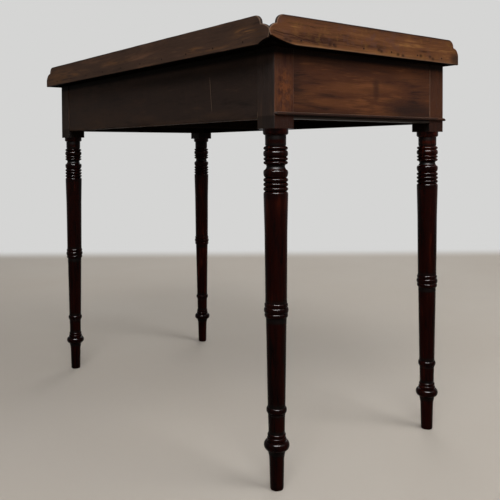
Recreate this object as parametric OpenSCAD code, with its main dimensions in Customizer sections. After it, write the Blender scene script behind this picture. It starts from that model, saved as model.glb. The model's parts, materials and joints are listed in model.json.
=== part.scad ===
// Small mahogany writing table with a low gallery on three sides, a deep frieze
// with two drawers, and four turned legs. Millimetres, +Z up. The drawers face -Y,
// the plain back faces +Y, and left and right are as seen from the front.
// The origin is on the floor, under the middle of the whole table's box.

/* [Top] */
// Width of the whole table, over the two side gallery boards
top_w = 908; // [860:1:960]
// Depth of the top, from the gallery's front tips to the back board's outer face
top_d = 499; // [470:1:530]
// Height of the writing surface above the floor
surface_h = 762; // [730:1:790]
// Thickness of the top board
slab_t = 18; // [15:0.5:22]
// Radius worn on the top board's two front arrises
slab_arris = 4; // [2:0.5:7]
// Radius of the top board's two back corners
slab_corner_r = 10; // [4:1:20]

/* [Gallery] */
// Thickness of the gallery boards
gallery_t = 6; // [5:0.5:10]
// Height of the gallery above the writing surface
gallery_rise = 30; // [26:1:40]
// Length of the lower lobe at a side board's end
side_lobe_l = 16; // [12:1:24]
// Length of the lower lobe at the back board's end
back_lobe_l = 22; // [12:1:28]
// Height of the lower lobe's curve
lobe_h = 18; // [10:1:20]
// Length of the quarter round above the lobe
quarter_l = 15; // [8:1:24]
// Height of the quarter round above the lobe
quarter_h = 15; // [10:1:18]
// Length of the sweep cut under the side board at the back left corner
side_sweep_l = 60; // [30:1:80]
// Length of the sweep cut under the back board at the back left corner
back_sweep_l = 27; // [20:1:80]
// Height of the side board's sweep at the corner
side_sweep_h = 12; // [6:0.5:16]
// Height of the back board's sweep at the corner
back_sweep_h = 8; // [4:0.5:16]
// How hollow the side board's sweep is: 1 is straight
side_sweep_power = 1.6; // [0.4:0.05:2]
// How hollow the back board's sweep is
back_sweep_power = 0.55; // [0.4:0.05:2]
// Length of the round nose over both sweeps
nose_l = 5; // [3:0.5:8]
// Height of the nose's tip above the board's foot
nose_z = 21; // [18:0.5:23]
// How pointed the upper half of the nose is: 1 is elliptic
nose_power = 1.33; // [1:0.01:1.6]

/* [Nails and screws] */
// Diameter of the gallery nails
nail_d = 1.8; // [1.4:0.1:2.4]
// Diameter of the nail heads
nail_head_d = 3.4; // [2.8:0.1:4.5]
// Thickness of the nail heads
nail_head_t = 0.8; // [0.5:0.1:1.2]
// How far a nail goes into the piece behind
nail_grip = 14; // [10:1:18]
// Nails in each side gallery board
side_nails = 6; // [3:1:9]
// Nails in the back gallery board
back_nails = 10; // [5:1:14]
// Shank diameter of the screws that hold the top
screw_d = 4; // [3.5:0.1:5]
// Head diameter of those screws
screw_head_d = 8; // [7:0.1:9.5]
// How far those screws go into the top board
screw_grip = 11; // [8:0.5:13]

// Distance of the kicker screws from the front and back rails
screw_inset = 80; // [40:1:120]

/* [Frieze] */
// Height of the frieze rails
frieze_h = 117; // [105:1:130]
// Overhang of the gallery beyond the side faces
overhang_side = 25; // [15:1:40]
// Overhang of the gallery beyond the back face
overhang_back = 31; // [15:1:45]
// Overhang of the gallery tips beyond the front face
overhang_front = 18; // [8:1:23]
// Thickness of the side rails
side_rail_t = 22; // [18:1:26]
// Thickness of the back rail
back_rail_t = 20; // [18:1:26]
// How far the back rail lies behind the back faces of the posts
back_rail_recess = 1; // [0:0.5:3]
// Depth of the two front rails and the divider, front to back
front_rail_d = 38; // [32:1:42]
// Thickness of the rail above the drawers
front_top_t = 16; // [13:1:20]
// Thickness of the rail below the drawers
front_bottom_t = 18; // [15:1:22]
// Width of the divider between the drawers
divider_w = 24; // [18:1:32]

/* [Bead moulding] */
// Height of the bead moulding
bead_h = 6; // [4:0.5:8]
// How far the bead stands out of the frieze
bead_out = 4.5; // [2:0.5:6]
// Height of the bead's lower edge above the bottom of the frieze
bead_z = 5; // [2:0.5:9]

/* [Joinery] */
// Thickness of the rail tenons
tenon_t = 8; // [6:0.5:10]
// Length of the rail tenons
tenon_l = 22; // [16:1:24]
// Shoulder left above and below a rail tenon
tenon_shoulder = 12; // [8:1:18]
// Distance from a rail's outer face to its tenon
tenon_inset = 7; // [5:0.5:8]
// Length of the dovetails on the ends of the rail above the drawers
rail_tail_l = 14; // [10:1:18]
// How many times longer those dovetails are than their flare
rail_tail_slope = 5; // [4:0.5:8]
// Length of the small tenons on the bearer, runners, kickers and divider
stub_l = 8; // [5:1:10]
// Shoulder left beside a runner's or kicker's small tenon
stub_side = 4; // [2:0.5:6]
// Clearance of every tenon and dovetail in its socket
fit = 0.15; // [0.1:0.05:0.3]

/* [Drawer carriers] */
// Width of bearing under each drawer side
runner_bearing = 22; // [16:1:30]
// Height of the guide strips above the runners
guide_h = 18; // [12:1:30]
// Distance of the drawer stops from the ends of a drawer front
stop_inset = 60; // [30:1:90]
// Width of the drawer stops
stop_w = 40; // [25:1:60]
// Height of the drawer stops
stop_h = 5; // [4:0.5:6]
// Length of the glue blocks
block_l = 55; // [40:1:80]
// Width and height of the glue blocks
block_s = 18; // [14:1:22]

/* [Drawers] */
// Gap round each drawer front
drawer_gap = 1; // [0.6:0.1:2]
// Gap under the drawer sides, on the runners
run_gap = 0.3; // [0.2:0.05:0.5]
// Space between a closed drawer and the glue blocks behind it
drawer_back_gap = 10; // [5:1:20]
// Thickness of the drawer fronts
front_t = 20; // [17:1:24]
// Thickness left in front of the lapped dovetails
lap_t = 7; // [6:0.5:9]
// Thickness of the drawer sides
side_t = 10; // [8:0.5:13]
// Thickness of the drawer backs
back_t = 10; // [8:0.5:13]
// Thickness of the drawer bottoms
bottom_t = 6; // [5:0.5:8]
// Height of a drawer bottom above the lower edge of its sides
bottom_rise = 8; // [7:0.5:12]
// Depth of the grooves that hold a drawer bottom
groove = 4; // [3:0.5:5]
// Dovetails on each end of a drawer side
tails = 3; // [2:1:4]
// Width of a dovetail at its narrow end
tail_w = 12; // [8:1:14]
// How much a dovetail widens on each side
tail_flare = 2; // [1:0.5:3]
// Thickness of the cockbead round a drawer front
cockbead_t = 3; // [2:0.5:4]
// How far the cockbead stands proud
cockbead_out = 2; // [1:0.5:3]
// How deep the cockbead is let into the drawer front
cockbead_in = 5; // [4:0.5:5.5]

/* [Knobs] */
// Distance between the two knobs of a drawer
knob_spacing = 190; // [140:1:240]
// Diameter of a knob
knob_d = 28; // [22:1:34]
// Length of a knob, out of the drawer front
knob_l = 24; // [24:1:32]
// Diameter of the rose at the foot of a knob
knob_rose_d = 18; // [14:1:20]
// Diameter of a knob's neck
knob_neck_d = 12; // [10:0.5:13]
// Diameter of the spigot that fixes a knob
spigot_d = 9; // [7:0.5:9.5]

/* [Leg block and upper turning] */
// Width of the square block at the top of a leg
post = 42; // [40:0.5:46]
// How far the block reaches below the frieze rails
block_drop = 17; // [8:1:30]
// Height of the collar under the block
collar_h = 10; // [7:0.5:14]
// Height of the plain neck
neck_h = 18.7; // [12:0.1:26]
// Diameter of the neck
neck_d = 35.6; // [32:0.2:37]
// Height of the thin ring under the neck
top_ring_h = 6.9; // [5:0.1:9]
// Height of each other thin ring on the upper turning
thin_ring_h = 6.4; // [5:0.2:8]
// Diameter over the thin rings
thin_ring_d = 41.4; // [39:0.2:42]
// Height of the thick ring between the thin ones
torus_h = 11.2; // [9:0.2:15]
// Diameter over the thick ring
torus_d = 42; // [39:0.2:42]
// Height of the cove above the bulb
cove_h = 8.6; // [5:0.5:11]
// Diameter in the cove
cove_d = 31.2; // [28:0.2:32.8]
// Height of the bulb
bulb_h = 13.3; // [11:0.1:18]
// Diameter over the bulb
bulb_d = 42; // [39:0.2:42]
// Height of each of the three rings under the bulb
triple_ring_h = 7.6; // [6:0.2:9]
// Diameter over those three rings
triple_ring_d = 42; // [39:0.2:42]
// Diameter in the grooves between rings
groove_d = 33.8; // [33:0.2:37]
// Height of the shaft's rounded shoulder
shoulder_h = 4.7; // [4:0.1:10]

/* [Leg shaft and foot] */
// Diameter at the top of the shaft
shaft_top_d = 41.8; // [40:0.2:42]
// Diameter of the shaft below its swelling top
shaft_swell_d = 38.8; // [37:0.2:39.8]
// Distance from the shaft's top to that diameter
swell_drop = 62; // [30:1:90]
// Diameter of the shaft above the middle collar
shaft_low_d = 36.8; // [34:0.2:37]
// Height of the middle collar's centre above the floor
mid_z = 305.6; // [280:0.1:330]
// Height of the middle collar's two outer rings
mid_ring_h = 7; // [5.5:0.5:9]
// Height of the middle collar's central ring
mid_torus_h = 10; // [8:0.5:13]
// Diameter over the middle collar's outer rings
mid_ring_d = 40; // [38:0.2:41]
// Diameter over the middle collar's central ring
mid_torus_d = 41.8; // [40:0.2:42]
// Diameter of the lower shaft, under the middle collar
lower_top_d = 35; // [33:0.2:36]
// Diameter of the lower shaft, above the ankle ring
lower_low_d = 30.2; // [28:0.2:31]
// Height of the ankle ring's centre above the floor
ankle_z = 136; // [128:0.5:150]
// Height of the ankle ring
ankle_ring_h = 10; // [9:0.2:16]
// Diameter over the ankle ring
ankle_ring_d = 35; // [33:0.2:36]
// Diameter of the ankle, under its ring
ankle_top_d = 29.2; // [27.4:0.2:29.6]
// Diameter of the ankle, above the foot rings
ankle_low_d = 27.8; // [25:0.2:28.4]
// Height of the foot's thick ring above the floor, at its centre
foot_z = 76; // [68:0.5:84]
// Height of the foot's thick ring
foot_torus_h = 15.5; // [14:0.5:22]
// Diameter over the foot's thick ring
foot_torus_d = 43.6; // [39:0.2:45]
// Height of each of the two small rings above the thick ring
foot_ring_h = 6.2; // [4.6:0.2:7]
// Diameter over the two small rings
foot_ring_d = 33; // [31:0.2:34]
// Diameter at the top of the toe, under its flare
toe_top_d = 25.4; // [23.6:0.2:27]
// Diameter near the bottom of the toe
toe_low_d = 23.2; // [20.8:0.2:23.4]
// Diameter of the sole, inside its worn edge
sole_d = 20.6; // [18:0.2:21.4]

/* [Hidden] */

// Segments on round pieces, and on one arc of a turned or cut outline
$fn = 48;
arc_steps = 8;
// Step between a ring's root and the wood beside it
lip = 0.2;
// A little extra length, so that a cut goes right through a face
over = 1;
// Clearance of nails, screws and spigots in their holes
hole_gap = 0.1;
// Clearance of a drawer bottom in its grooves
panel_gap = 0.2;

// Colours of the polished wood, the dark back, the plain inside wood and the iron
mahogany = "#4a2313";
leg_wood = "#34120c";
panel_wood = "#5a3220";
back_wood = "#2a211d";
inside_wood = "#8a6a48";
drawer_wood = "#a0804f";
iron = "#2b2b2d";

// Levels
z_under = surface_h - slab_t;
z_gallery = surface_h + gallery_rise;
z_rail = z_under - frieze_h;
z_block = z_rail - block_drop;
z_run = z_rail + front_bottom_t;
z_kick = z_under - front_top_t;

// The knobs may reach further forward than the top, so the middle allows for them
total_d = top_d + max(0, knob_l - overhang_front);
y_back = total_d / 2;
y_tip = y_back - top_d;
y_face = y_tip + overhang_front;
y_rear = y_back - overhang_back;
x_out = top_w / 2;
x_face = x_out - overhang_side;
x_post = x_face - post;
x_rail = x_face - side_rail_t;
leg_x = x_face - post / 2;
leg_y_front = y_face + post / 2;
leg_y_back = y_rear - post / 2;
// Front face of the back rail, and back face of the front rails
y_back_rail = y_rear - back_rail_recess - back_rail_t;
y_front_rail = y_face + front_rail_d;

// Inner edges of the side runners, and half the width of the centre bearer
x_runner = x_post - runner_bearing;
x_bearer = divider_w / 2 + runner_bearing;

// Right drawer: its ends, its rear face and its inside
dx0 = divider_w / 2 + drawer_gap;
dx1 = x_post - drawer_gap;
dy1 = y_back_rail - block_s - drawer_back_gap;
dy_in = y_face + front_t;
dz0 = z_run + run_gap;
dz1 = z_kick - drawer_gap;
front_z0 = z_run + drawer_gap;
bottom_z = dz0 + bottom_rise;
drawer_x = (dx0 + dx1) / 2;
drawer_z = (front_z0 + dz1) / 2;

// Points down one half-round ring of a turning, without its last point
function ring(z, h, r_in, r_out) =
    [for (i = [0:arc_steps - 1]) let (a = 180 * i / arc_steps)
        [r_in + (r_out - r_in) * sin(a), z - h * (1 - cos(a)) / 2]];

// Points down a quarter round that starts upright and turns in, without its last point
function ovolo(z, h, r_out, r_in) =
    [for (i = [0:arc_steps / 2 - 1]) let (a = 180 * i / arc_steps)
        [r_in + (r_out - r_in) * cos(a), z - h * sin(a)]];

// Points down a quarter round that starts level and ends upright, at radius r_end
function shoulder(z, h, r_start, r_end) =
    [for (i = [0:arc_steps / 2 - 1]) let (a = 180 * i / arc_steps)
        [r_start + (r_end - r_start) * sin(a), z - h * (1 - cos(a))]];

// Points down a flare, without its last point: the radius falls to r_end by a square law
function flare(z, h, r_start, r_end) =
    [for (i = [0:arc_steps / 2 - 1]) let (t = 2 * i / arc_steps)
        [r_end + (r_start - r_end) * pow(1 - t, 2), z - h * t]];

// Points down a hollow, without its last point: the radius falls to r_least at 3/8 of the
// height by a square law and rises to r_end by another
function cove(z, h, r_start, r_least, r_end) =
    [for (i = [0:arc_steps - 1]) let (t = i / arc_steps, low = 3 / 8)
        [t < low ? r_least + (r_start - r_least) * pow(1 - t / low, 2)
            : r_least + (r_end - r_least) * pow((t - low) / (1 - low), 2), z - h * t]];

// Radius of the collar, just inside the block
collar_r = post / 2 - 2 * lip;
// Radius where the cove meets the bulb
bulb_top_r = (cove_d + bulb_d) / 4;
// Share of the bulb's height above its widest place
bulb_rise = 0.35;
// Levels down the upper turning
z_neck = z_block - collar_h;
z_ring1 = z_neck - neck_h;
z_torus = z_ring1 - top_ring_h;
z_ring2 = z_torus - torus_h;
z_ring3 = z_ring2 - thin_ring_h;
z_cove = z_ring3 - thin_ring_h;
z_bulb = z_cove - cove_h;
z_triple = z_bulb - bulb_h;
z_shoulder = z_triple - 3 * triple_ring_h;
z_shaft = z_shoulder - shoulder_h;
// Levels on the shaft and foot
z_mid = mid_z + mid_torus_h / 2 + mid_ring_h;
z_mid_low = mid_z - mid_torus_h / 2;
z_ankle = ankle_z + ankle_ring_h / 2;
z_foot = foot_z + foot_torus_h / 2;
z_foot_ring = z_foot + 2 * foot_ring_h;
z_toe = foot_z - foot_torus_h / 2;
toe_neck_h = 20;
sole_h = 3;

// Half outline of a leg's turned part, from the block down to the floor
leg_outline = concat(
    [[0, z_block + over], [collar_r, z_block + over]],
    ovolo(z_block - collar_h / 2, collar_h / 2, collar_r, neck_d / 2),
    [[neck_d / 2, z_neck], [neck_d / 2, z_ring1]],
    ring(z_ring1, top_ring_h, groove_d / 2, thin_ring_d / 2),
    ring(z_torus, torus_h, groove_d / 2, torus_d / 2),
    ring(z_ring2, thin_ring_h, groove_d / 2, thin_ring_d / 2),
    ring(z_ring3, thin_ring_h, groove_d / 2, thin_ring_d / 2),
    cove(z_cove, cove_h, groove_d / 2, cove_d / 2, bulb_top_r),
    shoulder(z_bulb, bulb_rise * bulb_h, bulb_top_r, bulb_d / 2),
    ovolo(z_bulb - bulb_rise * bulb_h, (1 - bulb_rise) * bulb_h, bulb_d / 2, groove_d / 2),
    [for (k = [0:2]) each ring(z_triple - k * triple_ring_h, triple_ring_h,
        groove_d / 2 + 2 * lip, triple_ring_d / 2)],
    shoulder(z_shoulder, shoulder_h, groove_d / 2, shaft_top_d / 2),
    [[shaft_top_d / 2, z_shaft], [shaft_swell_d / 2, z_shaft - swell_drop]],
    [[shaft_low_d / 2, z_mid]],
    ring(z_mid, mid_ring_h, shaft_low_d / 2 + lip, mid_ring_d / 2),
    ring(z_mid - mid_ring_h, mid_torus_h, shaft_low_d / 2 + lip, mid_torus_d / 2),
    ring(z_mid_low, mid_ring_h, shaft_low_d / 2 + lip, mid_ring_d / 2),
    [[lower_top_d / 2, z_mid_low - mid_ring_h], [lower_low_d / 2, z_ankle]],
    ring(z_ankle, ankle_ring_h, lower_low_d / 2 + lip, ankle_ring_d / 2),
    [[ankle_top_d / 2, z_ankle - ankle_ring_h], [ankle_low_d / 2, z_foot_ring]],
    ring(z_foot_ring, foot_ring_h, ankle_low_d / 2 + lip, foot_ring_d / 2 - 4 * lip),
    ring(z_foot_ring - foot_ring_h, foot_ring_h, ankle_low_d / 2 + 3 * lip, foot_ring_d / 2),
    ring(z_foot, foot_torus_h, foot_ring_d / 2 - 3 * lip, foot_torus_d / 2),
    flare(z_toe, toe_neck_h, foot_ring_d / 2 - 3 * lip, toe_top_d / 2),
    [[toe_top_d / 2, z_toe - toe_neck_h], [toe_low_d / 2, sole_h]],
    [[sole_d / 2, 0], [0, 0]]);

// A box given by its two corners
module block(a, b) {
    translate(a) cube(b - a);
}

// A copy on the other side of the table's middle
module left_side() {
    mirror([1, 0, 0]) children();
}

// A flat outline in Y and Z, drawn out along +X from x
module along_x(x, l) {
    translate([x, 0, 0]) rotate([90, 0, 90]) linear_extrude(l) children();
}

// Outline of a gallery board l long, standing on zero, with both ends scrolled.
// sweep is the length of the cut under the end at zero, up to sweep_h under the
// round nose, and bent by power. A sweep of 0 leaves that end square.
module scroll_board(l, lobe_l, sweep, sweep_h, power) {
    h = slab_t + gallery_rise;
    cusp = h - quarter_h;
    foot = cusp - lobe_h;
    turns = [for (i = [0:arc_steps]) 90 * i / arc_steps];
    lobe = [for (a = turns) [lobe_l * (1 - cos(a)), foot + lobe_h * sin(a)]];
    quarter = [for (a = turns) [lobe_l + quarter_l * (1 - cos(a)), cusp + quarter_h * sin(a)]];
    under = [for (a = turns) let (t = 1 - a / 90)
        [nose_l + (sweep - nose_l) * t, sweep_h * pow(1 - t, power)]];
    chin = [for (a = turns) [nose_l * (1 - sin(a)), nose_z - (nose_z - sweep_h) * cos(a)]];
    nose = [for (a = turns) [lobe_l * (1 - pow(cos(a), nose_power)),
        nose_z + (cusp - nose_z) * pow(sin(a), nose_power)]];
    near_end = sweep == 0 ? concat([[0, 0]], lobe) : concat(under, chin, nose);
    far_end = [for (p = concat(lobe, quarter)) [l - p[0], p[1]]];
    polygon(concat(near_end, quarter, [for (i = [len(far_end) - 1:-1:0]) far_end[i]], [[l, 0]]));
}

// Section of a rounded strip: w out from a face at zero, h high, base at zero
module strip_section(w, h) {
    intersection() {
        translate([w - h / 2, h / 2]) circle(d = h);
        square([w, h]);
    }
    if (w > h / 2) square([w - h / 2, h]);
}

// Y of each nail in a side gallery board, and X of each in the back one
side_nail_y = [for (i = [0:side_nails - 1])
    y_tip + overhang_front + (i + 0.5) * (top_d - overhang_front - overhang_back) / side_nails];
back_nail_x = [for (i = [0:back_nails - 1])
    (i - (back_nails - 1) / 2) * (top_w - 2 * overhang_side) / back_nails];

// One nail with its head's face at zero and its point along -Z, grown by g
module nail(l, g) {
    mouth = g > 0 ? over : 0;
    translate([0, 0, -nail_head_t]) cylinder(d = nail_head_d + 2 * g, h = nail_head_t + mouth);
    translate([0, 0, -l - g]) cylinder(d = nail_d + 2 * g, h = l + g - nail_head_t);
}

// All the gallery nails, grown by g for their holes
module gallery_nail_set(g) {
    z = z_under + slab_t / 2;
    l = gallery_t + nail_grip;
    for (y = side_nail_y) translate([x_out, y, z]) rotate([0, 90, 0]) nail(l, g);
    for (y = side_nail_y) translate([-x_out, y, z]) rotate([0, -90, 0]) nail(l, g);
    for (x = back_nail_x) translate([x, y_back, z]) rotate([-90, 0, 0]) nail(l, g);
}

// Places of the screws that hold the top: in the front rail and in the kickers
screw_y = [y_front_rail + screw_inset, y_back_rail - screw_inset];
screw_at = concat(
    [for (s = [-1, 1], x = [dx0 + stop_inset, dx1 - stop_inset]) [s * x, (y_face + y_front_rail) / 2]],
    [for (s = [-1, 1], y = screw_y) [s * (x_runner + x_post) / 2, y]],
    [for (y = screw_y) [0, y]]);

// All the top screws, grown by g for their holes. The heads are countersunk.
module top_screw_set(g) {
    l = front_top_t + screw_grip;
    head_h = (screw_head_d - screw_d) / 2;
    mouth = g > 0 ? [[0, -over], [screw_head_d / 2 + g, -over]] : [[0, 0]];
    for (p = screw_at) translate([p[0], p[1], z_kick])
        rotate_extrude() polygon(concat(mouth, [[screw_head_d / 2 + g, 0],
            [screw_d / 2 + g, head_h], [screw_d / 2 + g, l + g], [0, l + g]]));
}

module top_board() {
    x = x_out - gallery_t;
    y1 = y_back - gallery_t;
    r = slab_arris;
    color(mahogany) difference() {
        along_x(-x, 2 * x) {
            translate([y_tip + r, z_under]) square([y1 - y_tip - r, slab_t]);
            translate([y_tip, z_under + r]) square([2 * r, slab_t - 2 * r]);
            translate([y_tip + r, z_under + r]) circle(r);
            translate([y_tip + r, surface_h - r]) circle(r);
        }
        for (s = [-1, 1]) translate([s * (x - slab_corner_r), y1 - slab_corner_r, 0])
            difference() {
                block([min(0, s * (slab_corner_r + over)), 0, z_under - over],
                    [max(0, s * (slab_corner_r + over)), slab_corner_r + over, surface_h + over]);
                translate([0, 0, z_under - 2 * over])
                    cylinder(r = slab_corner_r, h = slab_t + 4 * over);
            }
        gallery_nail_set(hole_gap);
        top_screw_set(hole_gap);
    }
}

// Half of the back right corner, cut off from a gallery board to mitre it:
// the half behind the mitre for a side board, and the half in front for the back one
module mitre_wedge(side) {
    w = 3 * gallery_t;
    translate([x_out, y_back, z_under - over]) rotate([0, 0, -135])
        block([-w, side ? -w : 0, 0], [w, side ? 0 : w, z_gallery - z_under + 2 * over]);
}

module gallery_side(sweep) {
    color(panel_wood) difference() {
        along_x(x_out - gallery_t, gallery_t) translate([y_back, z_under])
            mirror([1, 0]) scroll_board(top_d, side_lobe_l, sweep, side_sweep_h, side_sweep_power);
        mitre_wedge(true);
        gallery_nail_set(hole_gap);
    }
}

module gallery_right() {
    gallery_side(0);
}

module gallery_left() {
    left_side() gallery_side(side_sweep_l);
}

module gallery_back() {
    color(back_wood) difference() {
        translate([-x_out, y_back, z_under]) rotate([90, 0, 0])
            linear_extrude(gallery_t)
                scroll_board(top_w, back_lobe_l, back_sweep_l, back_sweep_h, back_sweep_power);
        mitre_wedge(false);
        left_side() mitre_wedge(false);
        gallery_nail_set(hole_gap);
    }
}

module gallery_nails() {
    color(iron) gallery_nail_set(0);
}

module top_screws() {
    color(iron) top_screw_set(0);
}

// Tenon of a side rail at its end y, running dir * tenon_l, grown by g
module side_tenon(y, dir, g) {
    y2 = y + dir * (tenon_l + g);
    block([x_face - tenon_inset - tenon_t - g, min(y - dir * over, y2), z_rail + tenon_shoulder - g],
        [x_face - tenon_inset + g, max(y - dir * over, y2), z_under - tenon_shoulder + g]);
}

// Tenon of the back rail at the right post, grown by g
module back_tenon(g) {
    y = y_rear - back_rail_recess - tenon_inset;
    block([x_post - over, y - tenon_t - g, z_rail + tenon_shoulder - g],
        [x_post + tenon_l + g, y + g, z_under - tenon_shoulder + g]);
}

// Twin tenons of the rail below the drawers at the right post, grown by g
module bottom_rail_tenons(g) {
    for (y = [y_face + front_rail_d / 4, y_face + 3 * front_rail_d / 4])
        block([x_post - over, y - tenon_t / 2 - g, z_rail + front_bottom_t / 4 - g],
            [x_post + tenon_l + g, y + tenon_t / 2 + g, z_run - front_bottom_t / 4 + g]);
}

// Dovetail of the rail above the drawers in the top of the right post, grown by g
module top_rail_tail(g) {
    y = y_face + front_rail_d / 2;
    w0 = front_rail_d / 4 + g;
    w1 = front_rail_d / 4 + rail_tail_l / rail_tail_slope + g;
    translate([0, 0, z_kick - g]) linear_extrude(front_top_t + g) polygon([
        [x_post - over, y - w0], [x_post, y - w0], [x_post + rail_tail_l + g, y - w1],
        [x_post + rail_tail_l + g, y + w1], [x_post, y + w0], [x_post - over, y + w0]]);
}

// One leg: a square block with the turned part below it, at the right side
module leg(y) {
    translate([leg_x - post / 2, y - post / 2, z_block]) cube([post, post, z_under - z_block]);
    translate([leg_x, y, 0]) rotate_extrude() polygon(leg_outline);
}

module leg_back_right() {
    color(leg_wood) difference() {
        leg(leg_y_back);
        side_tenon(leg_y_back - post / 2, 1, fit);
        back_tenon(fit);
    }
}

module leg_back_left() {
    left_side() leg_back_right();
}

module leg_front_right() {
    color(leg_wood) difference() {
        leg(leg_y_front);
        side_tenon(leg_y_front + post / 2, -1, fit);
        bottom_rail_tenons(fit);
        top_rail_tail(fit);
    }
}

module leg_front_left() {
    left_side() leg_front_right();
}

module side_rail_right() {
    y0 = leg_y_front + post / 2;
    y1 = leg_y_back - post / 2;
    color(panel_wood) {
        block([x_rail, y0, z_rail], [x_face, y1, z_under]);
        side_tenon(y0, -1, 0);
        side_tenon(y1, 1, 0);
    }
}

module side_rail_left() {
    left_side() side_rail_right();
}

// Stub tenons of the bearer, runners and kickers: a box cut or added at both ends.
// x0 to x1 is the tenon's width, z0 to z1 its height, grown by g.
module stubs(x0, x1, z0, z1, g) {
    block([x0 - g, y_back_rail - over, z0 - g], [x1 + g, y_back_rail + stub_l + g, z1 + g]);
    block([x0 - g, y_front_rail - stub_l - g, z0 - g], [x1 + g, y_front_rail + over, z1 + g]);
}

// Stub tenons of all the pieces that run from front to back, below and above
module lower_stubs(g) {
    z0 = z_rail + front_bottom_t / 3;
    z1 = z_run - front_bottom_t / 3;
    stubs(-x_bearer / 2, x_bearer / 2, z0, z1, g);
    for (s = [0, 1]) mirror([s, 0, 0]) stubs(x_runner + stub_side, x_post - stub_side, z0, z1, g);
}

module upper_stubs(g) {
    z0 = z_kick + front_top_t / 3;
    z1 = z_under - front_top_t / 3;
    stubs(-x_bearer / 2, x_bearer / 2, z0, z1, g);
    for (s = [0, 1]) mirror([s, 0, 0]) stubs(x_runner + stub_side, x_post - stub_side, z0, z1, g);
}

module back_rail() {
    color(back_wood) difference() {
        union() {
            block([-x_post, y_back_rail, z_rail], [x_post, y_back_rail + back_rail_t, z_under]);
            back_tenon(0);
            left_side() back_tenon(0);
        }
        lower_stubs(fit);
        upper_stubs(fit);
    }
}

// Stub tenons of the divider in the two front rails, grown by g
module divider_stubs(g) {
    y = (y_face + y_front_rail) / 2;
    w = front_rail_d / 2;
    t = divider_w / 3;
    block([-t / 2 - g, y - w / 2 - g, z_run - stub_l - g], [t / 2 + g, y + w / 2 + g, z_run + over]);
    block([-t / 2 - g, y - w / 2 - g, z_kick - over], [t / 2 + g, y + w / 2 + g, z_kick + stub_l + g]);
}

module front_top_rail() {
    color(mahogany) difference() {
        union() {
            block([-x_post, y_face, z_kick], [x_post, y_front_rail, z_under]);
            top_rail_tail(0);
            left_side() top_rail_tail(0);
        }
        upper_stubs(fit);
        divider_stubs(fit);
        top_screw_set(hole_gap);
    }
}

module front_bottom_rail() {
    color(mahogany) difference() {
        union() {
            block([-x_post, y_face, z_rail], [x_post, y_front_rail, z_run]);
            bottom_rail_tenons(0);
            left_side() bottom_rail_tenons(0);
        }
        lower_stubs(fit);
        divider_stubs(fit);
    }
}

module drawer_divider() {
    color(mahogany) {
        block([-divider_w / 2, y_face, z_run], [divider_w / 2, y_front_rail, z_kick]);
        divider_stubs(0);
    }
}

// The parts of a set of stubs that belong to one carrier, x0 to x1 wide
module own_stubs(x0, x1, z0, z1) {
    intersection() {
        children();
        block([x0, y_front_rail - 2 * stub_l, z0], [x1, y_back_rail + 2 * stub_l, z1]);
    }
}

module centre_bearer() {
    color(inside_wood) {
        block([-x_bearer, y_front_rail, z_rail], [x_bearer, y_back_rail, z_run]);
        own_stubs(-x_bearer, x_bearer, z_rail, z_run) lower_stubs(0);
    }
}

module centre_kicker() {
    color(inside_wood) difference() {
        union() {
            block([-x_bearer, y_front_rail, z_kick], [x_bearer, y_back_rail, z_under]);
            own_stubs(-x_bearer, x_bearer, z_kick, z_under) upper_stubs(0);
        }
        top_screw_set(hole_gap);
    }
}

// A side carrier from z0 to z1, cut away round the two posts
module side_carrier(z0, z1) {
    difference() {
        block([x_runner, y_front_rail, z0], [x_rail, y_back_rail, z1]);
        block([x_post, y_front_rail - over, z0 - over],
            [x_rail + over, leg_y_front + post / 2, z1 + over]);
        block([x_post, leg_y_back - post / 2, z0 - over],
            [x_rail + over, y_back_rail + over, z1 + over]);
    }
}

module runner_right() {
    color(inside_wood) {
        side_carrier(z_rail, z_run);
        own_stubs(x_runner, x_post, z_rail, z_run) lower_stubs(0);
    }
}

module runner_left() {
    left_side() runner_right();
}

module kicker_right() {
    color(inside_wood) difference() {
        union() {
            side_carrier(z_kick, z_under);
            own_stubs(x_runner, x_post, z_kick, z_under) upper_stubs(0);
        }
        top_screw_set(hole_gap);
    }
}

module kicker_left() {
    left_side() kicker_right();
}

module guide_right() {
    color(inside_wood) block([x_post, leg_y_front + post / 2, z_run],
        [x_rail, leg_y_back - post / 2, z_run + guide_h]);
}

module guide_left() {
    left_side() guide_right();
}

module centre_guide() {
    color(inside_wood) block([-divider_w / 2, y_front_rail, z_run],
        [divider_w / 2, y_back_rail, z_run + guide_h]);
}

module bead_front() {
    l = 2 * (x_face + bead_out);
    color(mahogany) translate([-l / 2, y_face, z_rail + bead_z]) bead_mitred(l);
}

// The front bead, mitred at both ends against the side beads
module bead_mitred(l) {
    difference() {
        rotate([90, 0, 90]) linear_extrude(l) mirror([1, 0]) strip_section(bead_out, bead_h);
        for (s = [0, 1]) translate([s * l, 0, -over]) mirror([s, 0, 0])
            translate([bead_out, 0, 0]) rotate([0, 0, 45])
                block([-4 * bead_out, 0, 0], [4 * bead_out, 4 * bead_out, bead_h + 2 * over]);
    }
}

module bead_right() {
    l = y_rear - y_face + bead_out;
    color(mahogany) translate([x_face, y_rear, z_rail + bead_z]) rotate([0, 0, -90]) difference() {
        rotate([90, 0, 90]) linear_extrude(l) strip_section(bead_out, bead_h);
        translate([l - bead_out, 0, -over]) rotate([0, 0, 45])
            block([0, -4 * bead_out, 0], [4 * bead_out, 0, bead_h + 2 * over]);
    }
}

module bead_left() {
    left_side() bead_right();
}

module drawer_stops() {
    color(inside_wood) for (s = [-1, 1], x = [dx0 + stop_inset, dx1 - stop_inset - stop_w])
        block([min(s * x, s * (x + stop_w)), dy_in + run_gap, z_run],
            [max(s * x, s * (x + stop_w)), y_front_rail, z_run + stop_h]);
}

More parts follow.
